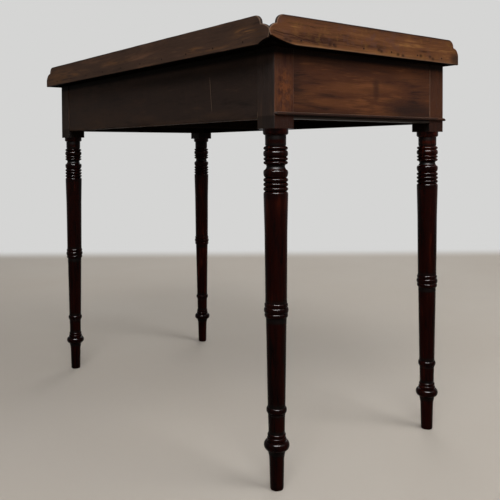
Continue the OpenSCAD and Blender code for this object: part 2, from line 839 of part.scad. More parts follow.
module glue_blocks() {
    span = x_runner - x_bearer;
    color(inside_wood) for (s = [-1, 1], k = [1, 3]) {
        x = s * (x_bearer + span * k / 4) - block_l / 2;
        flat = block_s / 6;
        along_x(x, block_l) translate([y_back_rail, z_under]) polygon([[0, 0], [-block_s, 0],
            [-block_s, -flat], [-flat, -block_s], [0, -block_s]]);
    }
}

// Dovetails in Y and Z from y to y + l, at x, through side_t, grown by g
module drawer_tails(x, y, l, g) {
    pitch = (dz1 - dz0 - tail_w) / tails;
    along_x(x, side_t) for (i = [0:tails - 1]) {
        z = dz0 + tail_w / 2 + pitch * (i + 0.5);
        w0 = tail_w / 2 + g;
        w1 = tail_w / 2 + tail_flare + g;
        d = l > 0 ? 1 : -1;
        polygon([[y - d * over, z - w0], [y, z - w0], [y + l + d * g, z - w1],
            [y + l + d * g, z + w1], [y, z + w0], [y - d * over, z + w0]]);
    }
}

module right_drawer_front() {
    c = cockbead_t;
    color(mahogany) difference() {
        block([dx0, y_face, front_z0], [dx1, dy_in, dz1]);
        difference() {
            block([dx0 - over, y_face - over, front_z0 - over],
                [dx1 + over, y_face + cockbead_in, dz1 + over]);
            block([dx0 + c, y_face - 2 * over, front_z0 + c],
                [dx1 - c, y_face + cockbead_in + over, dz1 - c]);
        }
        drawer_tails(dx0 - over, dy_in, lap_t - front_t, fit);
        drawer_tails(dx0, dy_in, lap_t - front_t, fit);
        drawer_tails(dx1 - side_t, dy_in, lap_t - front_t, fit);
        drawer_tails(dx1 - side_t + over, dy_in, lap_t - front_t, fit);
        block([dx0 + side_t - groove, dy_in - groove - panel_gap, bottom_z - panel_gap],
            [dx1 - side_t + groove, dy_in + over, bottom_z + bottom_t + panel_gap]);
        for (s = [-1, 1]) translate([drawer_x + s * knob_spacing / 2, y_face - over, drawer_z])
            rotate([-90, 0, 0]) cylinder(d = spigot_d + 2 * hole_gap, h = front_t + 2 * over);
    }
}

// A drawer side with its outer face at x, and its groove on the side dir
module drawer_side(x) {
    g = x > drawer_x ? x : x + side_t - groove;
    color(drawer_wood) difference() {
        union() {
            block([x, dy_in, dz0], [x + side_t, dy1 - back_t, dz1]);
            block([x, dy1 - back_t - over, dz0], [x + side_t, dy1, bottom_z + bottom_t]);
            drawer_tails(x, dy_in, lap_t - front_t, 0);
            drawer_tails(x, dy1 - back_t, back_t, 0);
        }
        block([g - (x > drawer_x ? over : 0), dy_in - front_t, bottom_z - panel_gap],
            [g + groove + (x > drawer_x ? 0 : over), dy1 + over, bottom_z + bottom_t + panel_gap]);
    }
}

module right_drawer_back() {
    z0 = bottom_z + bottom_t;
    color(drawer_wood) difference() {
        block([dx0, dy1 - back_t, z0], [dx1, dy1, dz1 - drawer_gap]);
        drawer_tails(dx0, dy1 - back_t, back_t, fit);
        drawer_tails(dx1 - side_t, dy1 - back_t, back_t, fit);
        drawer_nail_set(hole_gap);
    }
}

module right_drawer_bottom() {
    color(drawer_wood) difference() {
        block([dx0 + side_t - groove + panel_gap, dy_in - groove, bottom_z],
            [dx1 - side_t + groove - panel_gap, dy1, bottom_z + bottom_t]);
        drawer_nail_set(hole_gap);
    }
}

// Nails up through the drawer bottom into the drawer back, grown by g
module drawer_nail_set(g) {
    for (k = [-1, 0, 1]) translate([drawer_x + k * knob_spacing / 2, dy1 - back_t / 2, bottom_z])
        mirror([0, 0, 1]) nail(bottom_t + nail_grip, g);
}

// One strip of cockbead l long, along +X with its outer edge on z = 0 and its
// rounded edge towards -Y, mitred at both ends
module cockbead_strip(l) {
    r = cockbead_t / 2;
    difference() {
        rotate([90, 0, 90]) linear_extrude(l) {
            translate([r - cockbead_out, -cockbead_t])
                square([cockbead_in + cockbead_out - r, cockbead_t]);
            translate([r - cockbead_out, -r]) circle(r);
        }
        for (s = [0, 1]) translate([s * l, 0, 0]) mirror([s, 0, 0]) rotate([0, 45, 0])
            block([-4 * cockbead_t, -2 * front_t, -4 * cockbead_t], [4 * cockbead_t, 2 * front_t, 0]);
    }
}

module right_drawer_cockbead() {
    w = dx1 - dx0;
    h = dz1 - front_z0;
    color(mahogany) {
        translate([dx0, y_face, dz1]) cockbead_strip(w);
        translate([dx1, y_face, front_z0]) rotate([0, 180, 0]) cockbead_strip(w);
        translate([dx0, y_face, front_z0]) rotate([0, -90, 0]) cockbead_strip(h);
        translate([dx1, y_face, dz1]) rotate([0, 90, 0]) cockbead_strip(h);
    }
}

// Half outline of a knob, along its axis from the drawer's face outwards
rose_t = 3;
rose_edge = 1;
neck_rise = 2;
neck_drop = 3;
knob_outline = concat(
    [[0, -front_t + over], [spigot_d / 2, -front_t + over], [spigot_d / 2, 0]],
    [[knob_rose_d / 2, 0], [knob_rose_d / 2, rose_t - rose_edge]],
    [[knob_rose_d / 2 - rose_edge, rose_t], [knob_neck_d / 2, rose_t + neck_rise]],
    [[knob_neck_d / 2, knob_l / 2 - neck_drop]],
    [for (i = [0:2 * arc_steps - 1]) let (a = 150 * i / (2 * arc_steps) - 60)
        [knob_d / 2 * cos(a), 3 * knob_l / 4 + knob_l / 4 * sin(a)]],
    [[0, knob_l]]);

module right_drawer_knobs() {
    color(leg_wood) for (s = [-1, 1])
        translate([drawer_x + s * knob_spacing / 2, y_face, drawer_z])
            rotate([90, 0, 0]) rotate_extrude() polygon(knob_outline);
}

module right_drawer_outer_side() {
    drawer_side(dx1 - side_t);
}

module right_drawer_inner_side() {
    drawer_side(dx0);
}

module right_drawer_nails() {
    color(iron) drawer_nail_set(0);
}

module left_drawer_front() {
    left_side() right_drawer_front();
}

module left_drawer_outer_side() {
    left_side() right_drawer_outer_side();
}

module left_drawer_inner_side() {
    left_side() right_drawer_inner_side();
}

module left_drawer_back() {
    left_side() right_drawer_back();
}

module left_drawer_bottom() {
    left_side() right_drawer_bottom();
}

module left_drawer_cockbead() {
    left_side() right_drawer_cockbead();
}

module left_drawer_knobs() {
    left_side() right_drawer_knobs();
}

module left_drawer_nails() {
    left_side() right_drawer_nails();
}

top_board();
gallery_back();
gallery_left();
gallery_right();
leg_front_left();
leg_front_right();
leg_back_left();
leg_back_right();
back_rail();
side_rail_left();
side_rail_right();
front_top_rail();
front_bottom_rail();
drawer_divider();
centre_bearer();
runner_left();
runner_right();
guide_left();
guide_right();
centre_guide();
kicker_left();
kicker_right();
centre_kicker();
bead_left();
bead_right();
bead_front();
drawer_stops();
glue_blocks();
top_screws();
gallery_nails();
left_drawer_front();
left_drawer_outer_side();
left_drawer_inner_side();
left_drawer_back();
left_drawer_bottom();
left_drawer_cockbead();
left_drawer_knobs();
left_drawer_nails();
right_drawer_front();
right_drawer_outer_side();
right_drawer_inner_side();
right_drawer_back();
right_drawer_bottom();
right_drawer_cockbead();
right_drawer_knobs();
right_drawer_nails();
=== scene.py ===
"""Looks of a small mahogany writing table: turned legs, scroll-ended gallery boards, a stained
frieze, beads, drawers and knobs, in a plain studio. Lengths are metres, in the table's own frame."""

import json
import math

import bmesh
import bpy
import numpy as np
from bpy.props import FloatProperty, FloatVectorProperty, PointerProperty
from mathutils import Matrix, Vector

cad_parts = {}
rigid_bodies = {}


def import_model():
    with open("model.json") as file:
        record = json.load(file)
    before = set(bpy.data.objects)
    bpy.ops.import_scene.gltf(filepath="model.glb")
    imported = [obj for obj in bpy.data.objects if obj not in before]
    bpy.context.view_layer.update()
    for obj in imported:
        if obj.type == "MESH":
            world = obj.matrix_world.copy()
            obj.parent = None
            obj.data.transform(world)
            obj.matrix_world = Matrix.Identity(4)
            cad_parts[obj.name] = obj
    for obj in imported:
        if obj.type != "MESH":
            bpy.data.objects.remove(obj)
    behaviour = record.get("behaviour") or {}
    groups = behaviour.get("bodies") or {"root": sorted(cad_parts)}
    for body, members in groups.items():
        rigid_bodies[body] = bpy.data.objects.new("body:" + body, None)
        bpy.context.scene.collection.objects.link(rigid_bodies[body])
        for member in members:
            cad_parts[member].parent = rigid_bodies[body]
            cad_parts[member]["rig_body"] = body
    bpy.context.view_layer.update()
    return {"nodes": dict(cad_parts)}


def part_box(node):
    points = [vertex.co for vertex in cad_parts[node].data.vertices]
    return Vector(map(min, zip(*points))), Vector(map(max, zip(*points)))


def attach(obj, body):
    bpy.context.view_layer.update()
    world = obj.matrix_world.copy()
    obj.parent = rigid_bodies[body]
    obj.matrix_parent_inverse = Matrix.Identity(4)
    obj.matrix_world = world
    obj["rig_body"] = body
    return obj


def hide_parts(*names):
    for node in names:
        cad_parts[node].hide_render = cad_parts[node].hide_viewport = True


bl_info = {
    "name": "Regency writing table",
    "version": (1, 0, 0),
    "blender": (4, 5, 0),
    "location": "View3D > Sidebar > Table",
    "description": "Builds the table's turned legs, boards, mouldings and finishes round its frame",
    "category": "Object",
}

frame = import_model()

MM = 0.001
ALONG_X, ALONG_Y, ALONG_Z = 0, 1, 2


def linear(red, green, blue):
    """A colour given from 0 to 255, as the linear values that shaders use."""
    shares = np.array([red, green, blue]) / 255
    low, high = shares / 12.92, ((shares + 0.055) / 1.055) ** 2.4
    return tuple(float(v) for v in np.where(shares <= 0.04045, low, high))


def size(name, description, millimetres):
    """A length property, given in millimetres and held in metres."""
    return FloatProperty(name=name, description=description, default=millimetres * MM,
                         unit="LENGTH", precision=5)


def share(name, description, value, top=1.0):
    """A plain number property from 0 to top."""
    return FloatProperty(name=name, description=description, default=value, min=0, max=top,
                         subtype="FACTOR")


def tone(name, description, red, green, blue):
    """A colour property, given from 0 to 255 and held linear."""
    return FloatVectorProperty(name=name, description=description, subtype="COLOR", size=3,
                               min=0, max=1, default=linear(red, green, blue))


class TurningSizes(bpy.types.PropertyGroup):
    """Heights and diameters of a leg's block and turned part."""
    block_drop: size("Block drop", "How far the block reaches below the frieze", 17)
    block_arris: size("Block arris", "Radius worn on the block's upright arrises", 1.1)
    block_chamfer: size("Block chamfer", "Width of the worn edge at the block's foot", 0.35)
    collar_h: size("Collar height", "Height of the collar under the block", 10)
    collar_inset: size("Collar inset", "How far the collar lies inside the block's faces", 0.3)
    collar_round: size("Collar rounding", "Height of the collar's rounded lower edge", 3.6)
    neck_h: size("Neck height", "Height of the plain neck", 18.7)
    neck_d: size("Neck", "Diameter of the plain neck", 35.6)
    ring_top_h: size("Top ring height", "Height of the thin ring under the neck", 6.9)
    thin_ring_h: size("Thin ring height", "Height of each other thin ring", 6.4)
    thin_ring_d: size("Thin ring", "Diameter over the thin rings", 41.4)
    torus_h: size("Thick ring height", "Height of the thick ring", 11.2)
    torus_d: size("Thick ring", "Diameter over the thick ring", 42)
    cove_h: size("Cove height", "Height of the cove above the bulb", 8.6)
    cove_d: size("Cove", "Diameter at the hollow of the cove", 31.2)
    bulb_h: size("Bulb height", "Height of the bulb", 13.3)
    bulb_d: size("Bulb", "Diameter over the bulb", 42)
    triple_ring_h: size("Triple ring height", "Height of each ring under the bulb", 7.6)
    triple_ring_d: size("Triple ring", "Diameter over the rings under the bulb", 42)
    groove_d: size("Groove", "Diameter in the grooves between rings", 33.8)
    ring_point: share("Ring point", "How pointed the thin rings are: 1 is half round", 1.35, 3)
    shoulder_h: size("Shoulder height", "Height of the shaft's rounded shoulder", 4.7)
    shaft_top_d: size("Shaft top", "Diameter at the top of the shaft", 41.8)
    shaft_swell_d: size("Shaft swell", "Diameter of the shaft below its top", 38.8)
    swell_drop: size("Swell drop", "Distance from the shaft's top to that diameter", 62)
    shaft_low_d: size("Shaft foot", "Diameter of the shaft above the middle collar", 36.8)
    mid_z: size("Middle collar level", "Level of the middle collar's centre", 305.6)
    mid_ring_h: size("Middle ring height", "Height of the middle collar's outer rings", 7)
    mid_ring_d: size("Middle rings", "Diameter over the middle collar's outer rings", 40)
    mid_torus_h: size("Middle thick ring height", "Height of its central ring", 10)
    mid_torus_d: size("Middle thick ring", "Diameter over its central ring", 41.8)
    lower_top_d: size("Lower shaft top", "Diameter under the middle collar", 35)
    lower_low_d: size("Lower shaft foot", "Diameter above the ankle ring", 30.2)
    ankle_z: size("Ankle level", "Level of the ankle ring's centre", 136)
    ankle_ring_h: size("Ankle ring height", "Height of the ankle ring", 10)
    ankle_ring_d: size("Ankle ring", "Diameter over the ankle ring", 35)
    ankle_lip_h: size("Ankle lip height", "Height of the small lip under the ankle ring", 3)
    ankle_top_d: size("Ankle top", "Diameter under the ankle ring", 29.2)
    ankle_low_d: size("Ankle foot", "Diameter above the foot rings", 27.8)
    foot_z: size("Foot ring level", "Level of the foot's thick ring", 76)
    foot_torus_h: size("Foot thick ring height", "Height of the foot's thick ring", 15.5)
    foot_torus_d: size("Foot thick ring", "Diameter over the foot's thick ring", 44)
    foot_ring_h: size("Foot ring height", "Height of each small ring above it", 6.2)
    foot_ring_d: size("Foot rings", "Diameter over the two small rings", 33)
    toe_neck_h: size("Toe flare height", "Height of the flare above the toe", 20)
    toe_top_d: size("Toe top", "Diameter at the top of the toe, under its flare", 25.4)
    toe_low_d: size("Toe foot", "Diameter near the bottom of the toe", 23.2)
    sole_h: size("Sole height", "Height of the sole's worn edge", 3)
    sole_d: size("Sole", "Diameter of the sole inside its worn edge", 20.6)
    out_of_round: size("Out of round", "How far hand turning strays from a true circle", 0.12)


class BoardSizes(bpy.types.PropertyGroup):
    """Outlines and worn edges of the gallery boards, rails, beads and cockbeads."""
    side_lobe_l: size("Side lobe length", "Length of the lobe at a side board's end", 16)
    back_lobe_l: size("Back lobe length", "Length of the lobe at the back board's end", 22)
    lobe_h: size("Lobe height", "Height of the lobe's curve", 18)
    quarter_l: size("Quarter length", "Length of the quarter round above the lobe", 15)
    quarter_h: size("Quarter height", "Height of the quarter round above the lobe", 15)
    side_sweep_l: size("Side sweep", "Length of the cut under the left board's back end", 60)
    back_sweep_l: size("Back sweep", "Length of the cut under the back board's left end", 27)
    side_sweep_h: size("Side sweep height", "Height of the left board's cut at the corner", 12)
    back_sweep_h: size("Back sweep height", "Height of the back board's cut at the corner", 8)
    side_sweep_power: share("Side sweep hollow", "How hollow the left board's cut is: 1 is straight",
                            1.6, 3)
    back_sweep_power: share("Back sweep hollow", "How hollow the back board's cut is", 0.55, 3)
    nose_l: size("Nose length", "Length of the chin under the round nose at the corner", 5)
    nose_z: size("Nose level", "Height of the nose's tip above the board's foot", 21)
    nose_power: share("Nose point", "How pointed the nose's upper half is: 1 is elliptic", 1.33, 3)
    gallery_arris: size("Gallery arris", "Radius worn on the gallery boards' edges", 1.5)
    gallery_recess: size("Nail stand", "How far the nail heads stand out of the boards", 0.25)
    tenon_l: size("Tenon length", "Length of the rail tenons", 22)
    tenon_t: size("Tenon thickness", "Thickness of the rail tenons", 8)
    tenon_inset: size("Tenon inset", "Distance from a rail's outer face to its tenon", 7)
    tenon_shoulder: size("Tenon shoulder", "Shoulder above and below a rail tenon", 12)
    rail_arris: size("Rail arris", "Radius worn on the rails' arrises", 0.9)
    worn_arris: size("Worn arris", "How deep the back rail's lower arris is worn", 1.2)
    bead_h: size("Bead height", "Height of the bead moulding", 6)
    bead_out: size("Bead projection", "How far the bead stands out", 4.5)
    cockbead_t: size("Cockbead", "Thickness of the cockbead round a drawer front", 3)
    hand_wave: size("Hand wave", "How far the hand-planed faces stray from flat", 0.12)


class KnobSizes(bpy.types.PropertyGroup):
    """Sizes of the drawers' turned knobs."""
    rose_t: size("Rose thickness", "Thickness of the rose at a knob's foot", 3)
    rose_d: size("Rose", "Diameter of the rose", 18)
    neck_d: size("Neck", "Diameter of the neck", 12)
    spigot_d: size("Spigot", "Diameter of the spigot", 9)


class WoodTones(bpy.types.PropertyGroup):
    """Dark, middle and light tones of each finish."""
    leg_dark: tone("Leg dark", "Blackest tone of the turned legs", 5, 1, 1)
    leg_mid: tone("Leg middle", "Usual tone of the turned legs", 25, 3, 1)
    leg_light: tone("Leg light", "Reddest tone of the turned legs", 58, 18, 8)
    post_dark: tone("Post dark", "Darkest tone of the leg blocks", 44, 25, 19)
    post_mid: tone("Post middle", "Usual tone of the leg blocks", 64, 37, 24)
    post_light: tone("Post light", "Worn orange tone of the leg blocks", 106, 58, 28)
    post_low: tone("Post foot", "Red-brown tone of a block below the bead", 36, 18, 12)
    frieze_dark: tone("Frieze dark", "Darkest tone of the side rails", 40, 25, 19)
    frieze_mid: tone("Frieze middle", "Usual tone of the side rails", 68, 39, 24)
    frieze_light: tone("Frieze light", "Palest tone of the side rails", 96, 58, 33)
    gallery_dark: tone("Gallery dark", "Darkest tone of the side gallery boards", 52, 30, 19)
    gallery_mid: tone("Gallery middle", "Usual tone of the side gallery boards", 88, 54, 31)
    gallery_light: tone("Gallery light", "Ochre tone of the side gallery boards", 126, 85, 47)
    back_gallery_dark: tone("Back gallery dark", "Darkest tone of the back board", 36, 27, 23)
    back_gallery_mid: tone("Back gallery middle", "Usual tone of the back board", 69, 51, 41)
    back_gallery_light: tone("Back gallery light", "Palest tone of the back board", 104, 74, 56)
    back_dark: tone("Back dark", "Blackest tone of the stained back", 24, 19, 17)
    back_mid: tone("Back middle", "Usual tone of the stained back", 47, 36, 31)
    back_light: tone("Back light", "Worn tone of the stained back", 66, 48, 36)
    # The inside tones are near black: darkened deal, and painted shade of the table's inside
    inside_dark: tone("Inside dark", "Dark tone of the bare inside wood", 7, 5, 4)
    inside_mid: tone("Inside middle", "Usual tone of the bare inside wood", 15, 11, 8)
    inside_light: tone("Inside light", "Pale tone of the bare inside wood", 34, 26, 18)
    drawer_dark: tone("Drawer dark", "Dark tone of the drawer linings", 84, 56, 32)
    drawer_mid: tone("Drawer middle", "Usual tone of the drawer linings", 128, 92, 56)
    drawer_light: tone("Drawer light", "Pale tone of the drawer linings", 160, 124, 82)
    iron_dark: tone("Iron dark", "Tone of rusted iron", 30, 18, 12)
    iron_light: tone("Iron light", "Tone of rubbed iron", 52, 36, 27)
    # This tone is real dirt in the legs' grooves, and painted shade under the top's overhang, below the
    # beads, on the gallery boards' undersides and on the blocks' inner faces
    grime: tone("Grime", "Tone of the dirt in hollows and cracks", 5, 4, 3)
    rim: tone("Rim", "Tone of the gallery boards' ends and top edges", 34, 25, 21)
    bloom: tone("Bloom", "Purplish grey of old polish on the side gallery boards", 80, 54, 48)
    ochre: tone("Ochre", "Yellowish tone of thin polish on the side gallery boards", 108, 74, 34)
    knot: tone("Knot", "Tone of old nail holes and knots", 40, 24, 16)
    # Grey of dust and of a painted light from the floor on the side rails' lower arris
    grey_edge: tone("Grey edge", "Tone of the side rails' dusty lower arris", 46, 40, 36)
    worn_edge: tone("Worn edge", "Tone of wood laid bare along an arris", 134, 108, 88)


class StudioSettings(bpy.types.PropertyGroup):
    """The plain studio round the table, and its camera."""
    floor_tone: tone("Floor", "Colour of the floor", 168, 160, 150)
    wall_tone: tone("Background", "Colour behind the table", 213, 213, 212)
    sky_low: share("Low sky light", "Brightness of the room's light near the horizon", 0.16, 10)
    sky_high: share("High sky light", "Brightness of the room's light overhead", 0.5, 10)
    key_power: share("Key light", "Power of the large side light, in watts", 118, 2000)
    top_power: share("Top light", "Power of the long overhead light, in watts", 64, 2000)
    fill_power: share("Fill light", "Power of the large light from the front right, in watts",
                      70, 2000)
    sheen_power: share("Sheen light", "Power of the wide light that only shows as a highlight, in watts",
                       1500, 3000)
    backdrop_start: size("Backdrop start", "Where the floor starts to turn into the backdrop", 1990)
    backdrop_end: size("Backdrop end", "Where the floor has become the backdrop", 2330)
    fade_start: size("Fade start", "Distance where the floor starts to fade out", 2500)
    fade_end: size("Fade end", "Distance where the floor has become the background", 4200)
    lens: FloatProperty(name="Lens", description="Focal length, millimetres on a 36 mm sensor",
                        default=48.67)


class Shell:
    """Grids of points gathered into one closed mesh, with named marks at every point."""

    def __init__(self, *marks):
        self.points, self.faces, self.count = [], [], 0
        self.marks = {name: [] for name in marks}

    def lay(self, points, **marks):
        """Adds points of any grid shape with their marks, and returns their indices."""
        shape = points.shape[:-1]
        index = self.count + np.arange(int(np.prod(shape))).reshape(shape)
        self.points.append(points.reshape(-1, 3))
        for name, values in self.marks.items():
            values.append(np.broadcast_to(marks.get(name, 0.0), shape).reshape(-1))
        self.count += index.size
        return index

    def skin(self, index, wrap=False):
        """Adds a quad between each two rows and columns of indices; wrap joins the last column to
        the first."""
        start = index if wrap else index[:, :-1]
        after = np.roll(index, -1, axis=1) if wrap else index[:, 1:]
        quads = np.stack([start[:-1], after[:-1], after[1:], start[1:]], axis=-1)
        self.faces += quads.reshape(-1, 4).tolist()
        return index

    def cap(self, ring):
        """Closes a ring of indices with one flat face."""
        self.faces.append(ring.tolist())

    def tube(self, points, **marks):
        """Adds a row of rings as one tube, with a flat cap on each end."""
        index = self.skin(self.lay(points, **marks), wrap=True)
        self.cap(index[0])
        self.cap(index[-1])

    def piece(self, name, *materials, sharp=38, pick=None):
        """Makes the object, its faces turned outwards and its arrises over sharp degrees kept crisp.
        pick says for each face's centre whether it takes the second material."""
        points = np.concatenate(self.points)
        mesh = bpy.data.meshes.new(name)
        mesh.from_pydata(points.tolist(), [], self.faces)
        for mark, values in self.marks.items():
            layer = mesh.attributes.new(mark, "FLOAT", "POINT")
            layer.data.foreach_set("value", np.concatenate(values).astype(np.float32))
        for material in materials:
            mesh.materials.append(material)
        if pick is not None:
            centres = np.zeros(len(mesh.polygons) * 3)
            mesh.polygons.foreach_get("center", centres)
            chosen = pick(centres.reshape(-1, 3)).astype(np.int32)
            mesh.polygons.foreach_set("material_index", chosen)
        work = bmesh.new()
        work.from_mesh(mesh)
        bmesh.ops.remove_doubles(work, verts=work.verts, dist=MM / 1000)
        bmesh.ops.recalc_face_normals(work, faces=work.faces)
        work.to_mesh(mesh)
        work.free()
        mesh.shade_smooth()
        mesh.set_sharp_from_angle(angle=math.radians(sharp))
        mesh.update()
        piece = bpy.data.objects.new(name, mesh)
        bpy.context.scene.collection.objects.link(piece)
        return piece


def stand_in(piece, node):
    """The piece takes a node's place and rides on its body."""
    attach(piece, frame["nodes"][node]["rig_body"])
    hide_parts(node)


def ripple(u, v, length, seed):
    """Smooth unevenness between -1 and 1, in waves of about a length: the mean of six sine waves
    whose directions, phases and lengths are drawn from the seed."""
    rng = np.random.default_rng(seed)
    total = np.zeros(np.broadcast(u, v).shape)
    for angle, phase, stretch in rng.uniform((0, 0, 0.6), (math.pi, 2 * math.pi, 1.7), (6, 3)):
        reach = (u * math.cos(angle) + v * math.sin(angle)) * 2 * math.pi * stretch / length
        total += np.sin(reach + phase)
    return total / 6


class Wired:
    """What a node gives out. An operator on it adds the node that works the operation."""

    def __init__(self, graph, socket):
        self.graph, self.socket = graph, socket

    def __add__(self, other):
        return self.work("ADD", self, other)

    def __radd__(self, other):
        return self.work("ADD", other, self)

    def __sub__(self, other):
        return self.work("SUBTRACT", self, other)

    def __rsub__(self, other):
        return self.work("SUBTRACT", other, self)

    def __mul__(self, other):
        return self.work("MULTIPLY", self, other)

    def __rmul__(self, other):
        return self.work("MULTIPLY", other, self)


class Field(Wired):
    """A number over a surface, worked out by Math nodes."""

    def work(self, operation, *terms):
        """The number that a Math node makes of its terms."""
        return self.graph.number("ShaderNodeMath", {"operation": operation}, *terms)

    def __abs__(self):
        return self.work("ABSOLUTE", self)

    def most(self, other):
        """The larger of two numbers."""
        return self.work("MAXIMUM", self, other)

    def ease(self, low, high):
        """0 below low and 1 above high, with a smooth step between: the other way round if low is
        the higher."""
        if low > high:
            return 1 - self.ease(high, low)
        settings = {"interpolation_type": "SMOOTHSTEP"}
        return self.graph.number("ShaderNodeMapRange", settings, self, low, high, 0.0, 1.0)


class Place(Wired):
    """A point or direction over a surface, worked out by Vector Math nodes."""

    def work(self, operation, *terms):
        """The vector that a Vector Math node makes of its terms."""
        made = self.graph.node("ShaderNodeVectorMath", {"operation": operation}, *terms)
        return Place(self.graph, made.outputs["Vector"])

    def length(self):
        """How long the vector is."""
        node = self.graph.node("ShaderNodeVectorMath", {"operation": "LENGTH"}, self)
        return Field(self.graph, node.outputs["Value"])

    def parts(self):
        """Its three numbers."""
        node = self.graph.node("ShaderNodeSeparateXYZ", {}, self)
        return [Field(self.graph, out) for out in node.outputs]


class Graph:
    """The nodes of one material or of the sky."""

    def __init__(self, tree):
        self.tree = tree
        tree.nodes.clear()

    def link(self, socket, value):
        """Gives a socket a value, or links it to another socket; a colour gets its full alpha."""
        value = getattr(value, "socket", value)
        if isinstance(value, bpy.types.NodeSocket):
            self.tree.links.new(value, socket)
        elif socket.type == "RGBA":
            socket.default_value = (*value[:3], 1.0)
        else:
            socket.default_value = value

    def node(self, kind, settings=None, *terms, **named):
        """Adds a node of a kind, sets its settings, then gives its sockets their values or links:
        those in use in order, or one by its name, with _ for a space."""
        made = self.tree.nodes.new(kind)
        for key, value in (settings or {}).items():
            setattr(made, key, value)
        in_use = [socket for socket in made.inputs if socket.enabled]
        for socket, value in zip(in_use, terms):
            self.link(socket, value)
        for key, value in named.items():
            self.link(made.inputs[key.replace("_", " ")], value)
        return made

    def number(self, kind, settings=None, *terms):
        """The number that a node gives out first."""
        return Field(self, self.node(kind, settings, *terms).outputs[0])

    def mix(self, factor, first, second):
        """Two colours mixed by a factor, as the one output that the node then has in use."""
        made = self.node("ShaderNodeMix", {"data_type": "RGBA"}, factor, first, second)
        return next(out for out in made.outputs if out.enabled)

    def coordinates(self):
        """The object's own coordinates, metres."""
        return Place(self, self.node("ShaderNodeTexCoord").outputs["Object"])

    def seen(self):
        """1 where the camera or a reflection looks, and 0 for light that falls on a surface."""
        path = self.node("ShaderNodeLightPath")
        camera, glossy, through = (Field(self, path.outputs["Is " + ray + " Ray"])
                                   for ray in ("Camera", "Glossy", "Transmission"))
        return camera.most(glossy).most(through)

    def mark(self, name):
        """A mark that the mesh carries."""
        return Field(self, self.node("ShaderNodeAttribute", {"attribute_name": name}).outputs["Fac"])

    def noise(self, place, scale, detail=3.0, roughness=0.5):
        """Cloudy noise from 0 to 1, scale clouds to the metre."""
        made = self.node("ShaderNodeTexNoise", {"noise_dimensions": "3D"}, Vector=place,
                         Scale=scale, Detail=detail, Roughness=roughness)
        return Field(self, made.outputs[0])

    def spot(self, place, centre, reach, soft=0.5):
        """1 inside an ellipsoid and 0 outside it, its edge softened by a share of its reach."""
        inverse = tuple(1 / r for r in reach)
        away = ((place - tuple(centre)) * inverse).length()
        return away.ease(1 + soft, 1 - soft)


def new_material(name):
    """An empty node material and its graph."""
    material = bpy.data.materials.new(name)
    material.use_nodes = True
    return material, Graph(material.node_tree)


class Paint:
    """A finish in the making: a colour built up in layers, then a roughness and a height."""

    def __init__(self, name):
        self.material, self.graph = new_material(name)
        self.place = self.graph.coordinates()
        self.x, self.y, self.up = self.place.parts()
        self.colour = None

    def over(self, cover, tint):
        """Lays a tint over the colour, by a cover that varies over the surface from 0 to 1."""
        self.colour = self.graph.mix(cover, self.colour, tint)

    def clouds(self, patches, thin_axis, level, gaps, light, dark):
        """Lays cloudy patches on a board that stands at level on its thin axis: light ones, and dark
        ones where their strength is below zero. gaps breaks them up."""
        for along, up, half_length, half_height, strength in patches:
            middle, reach = [along * MM, up * MM], [half_length * MM, half_height * MM]
            middle.insert(thin_axis, level)
            reach.insert(thin_axis, 1.0)
            cloud = self.graph.spot(self.place, middle, reach, 0.7)
            self.over(cloud * gaps * abs(strength), light if strength > 0 else dark)

    def shelter(self, tones):
        """Lays painted shade high on the frieze, under the overhang of the top."""
        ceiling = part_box("top_board")[0].z
        self.over(self.up.ease(ceiling - 17 * MM, ceiling - 8 * MM) * 0.92, tones.grime)

    def finish(self, roughness, height, depth, specular, coat=0.0, coat_roughness=0.2):
        """Puts the colour, the roughness and the height, in shares of depth, on the surface."""
        bump = self.graph.node("ShaderNodeBump", None, Height=height, Distance=depth, Strength=1.0)
        surface = self.graph.node("ShaderNodeBsdfPrincipled", None, Base_Color=self.colour,
                                  Roughness=roughness, Normal=bump.outputs["Normal"],
                                  Coat_Weight=coat)
        surface.inputs["Specular IOR Level"].default_value = specular
        surface.inputs["Coat Roughness"].default_value = coat_roughness
        self.graph.node("ShaderNodeOutputMaterial", None, Surface=surface.outputs[0])
        return self.material


# Clouds to the metre of the grain's finer parts
STREAKS, BANDS, FIBRES, PORES = 60.0, 190.0, 700.0, 1500.0


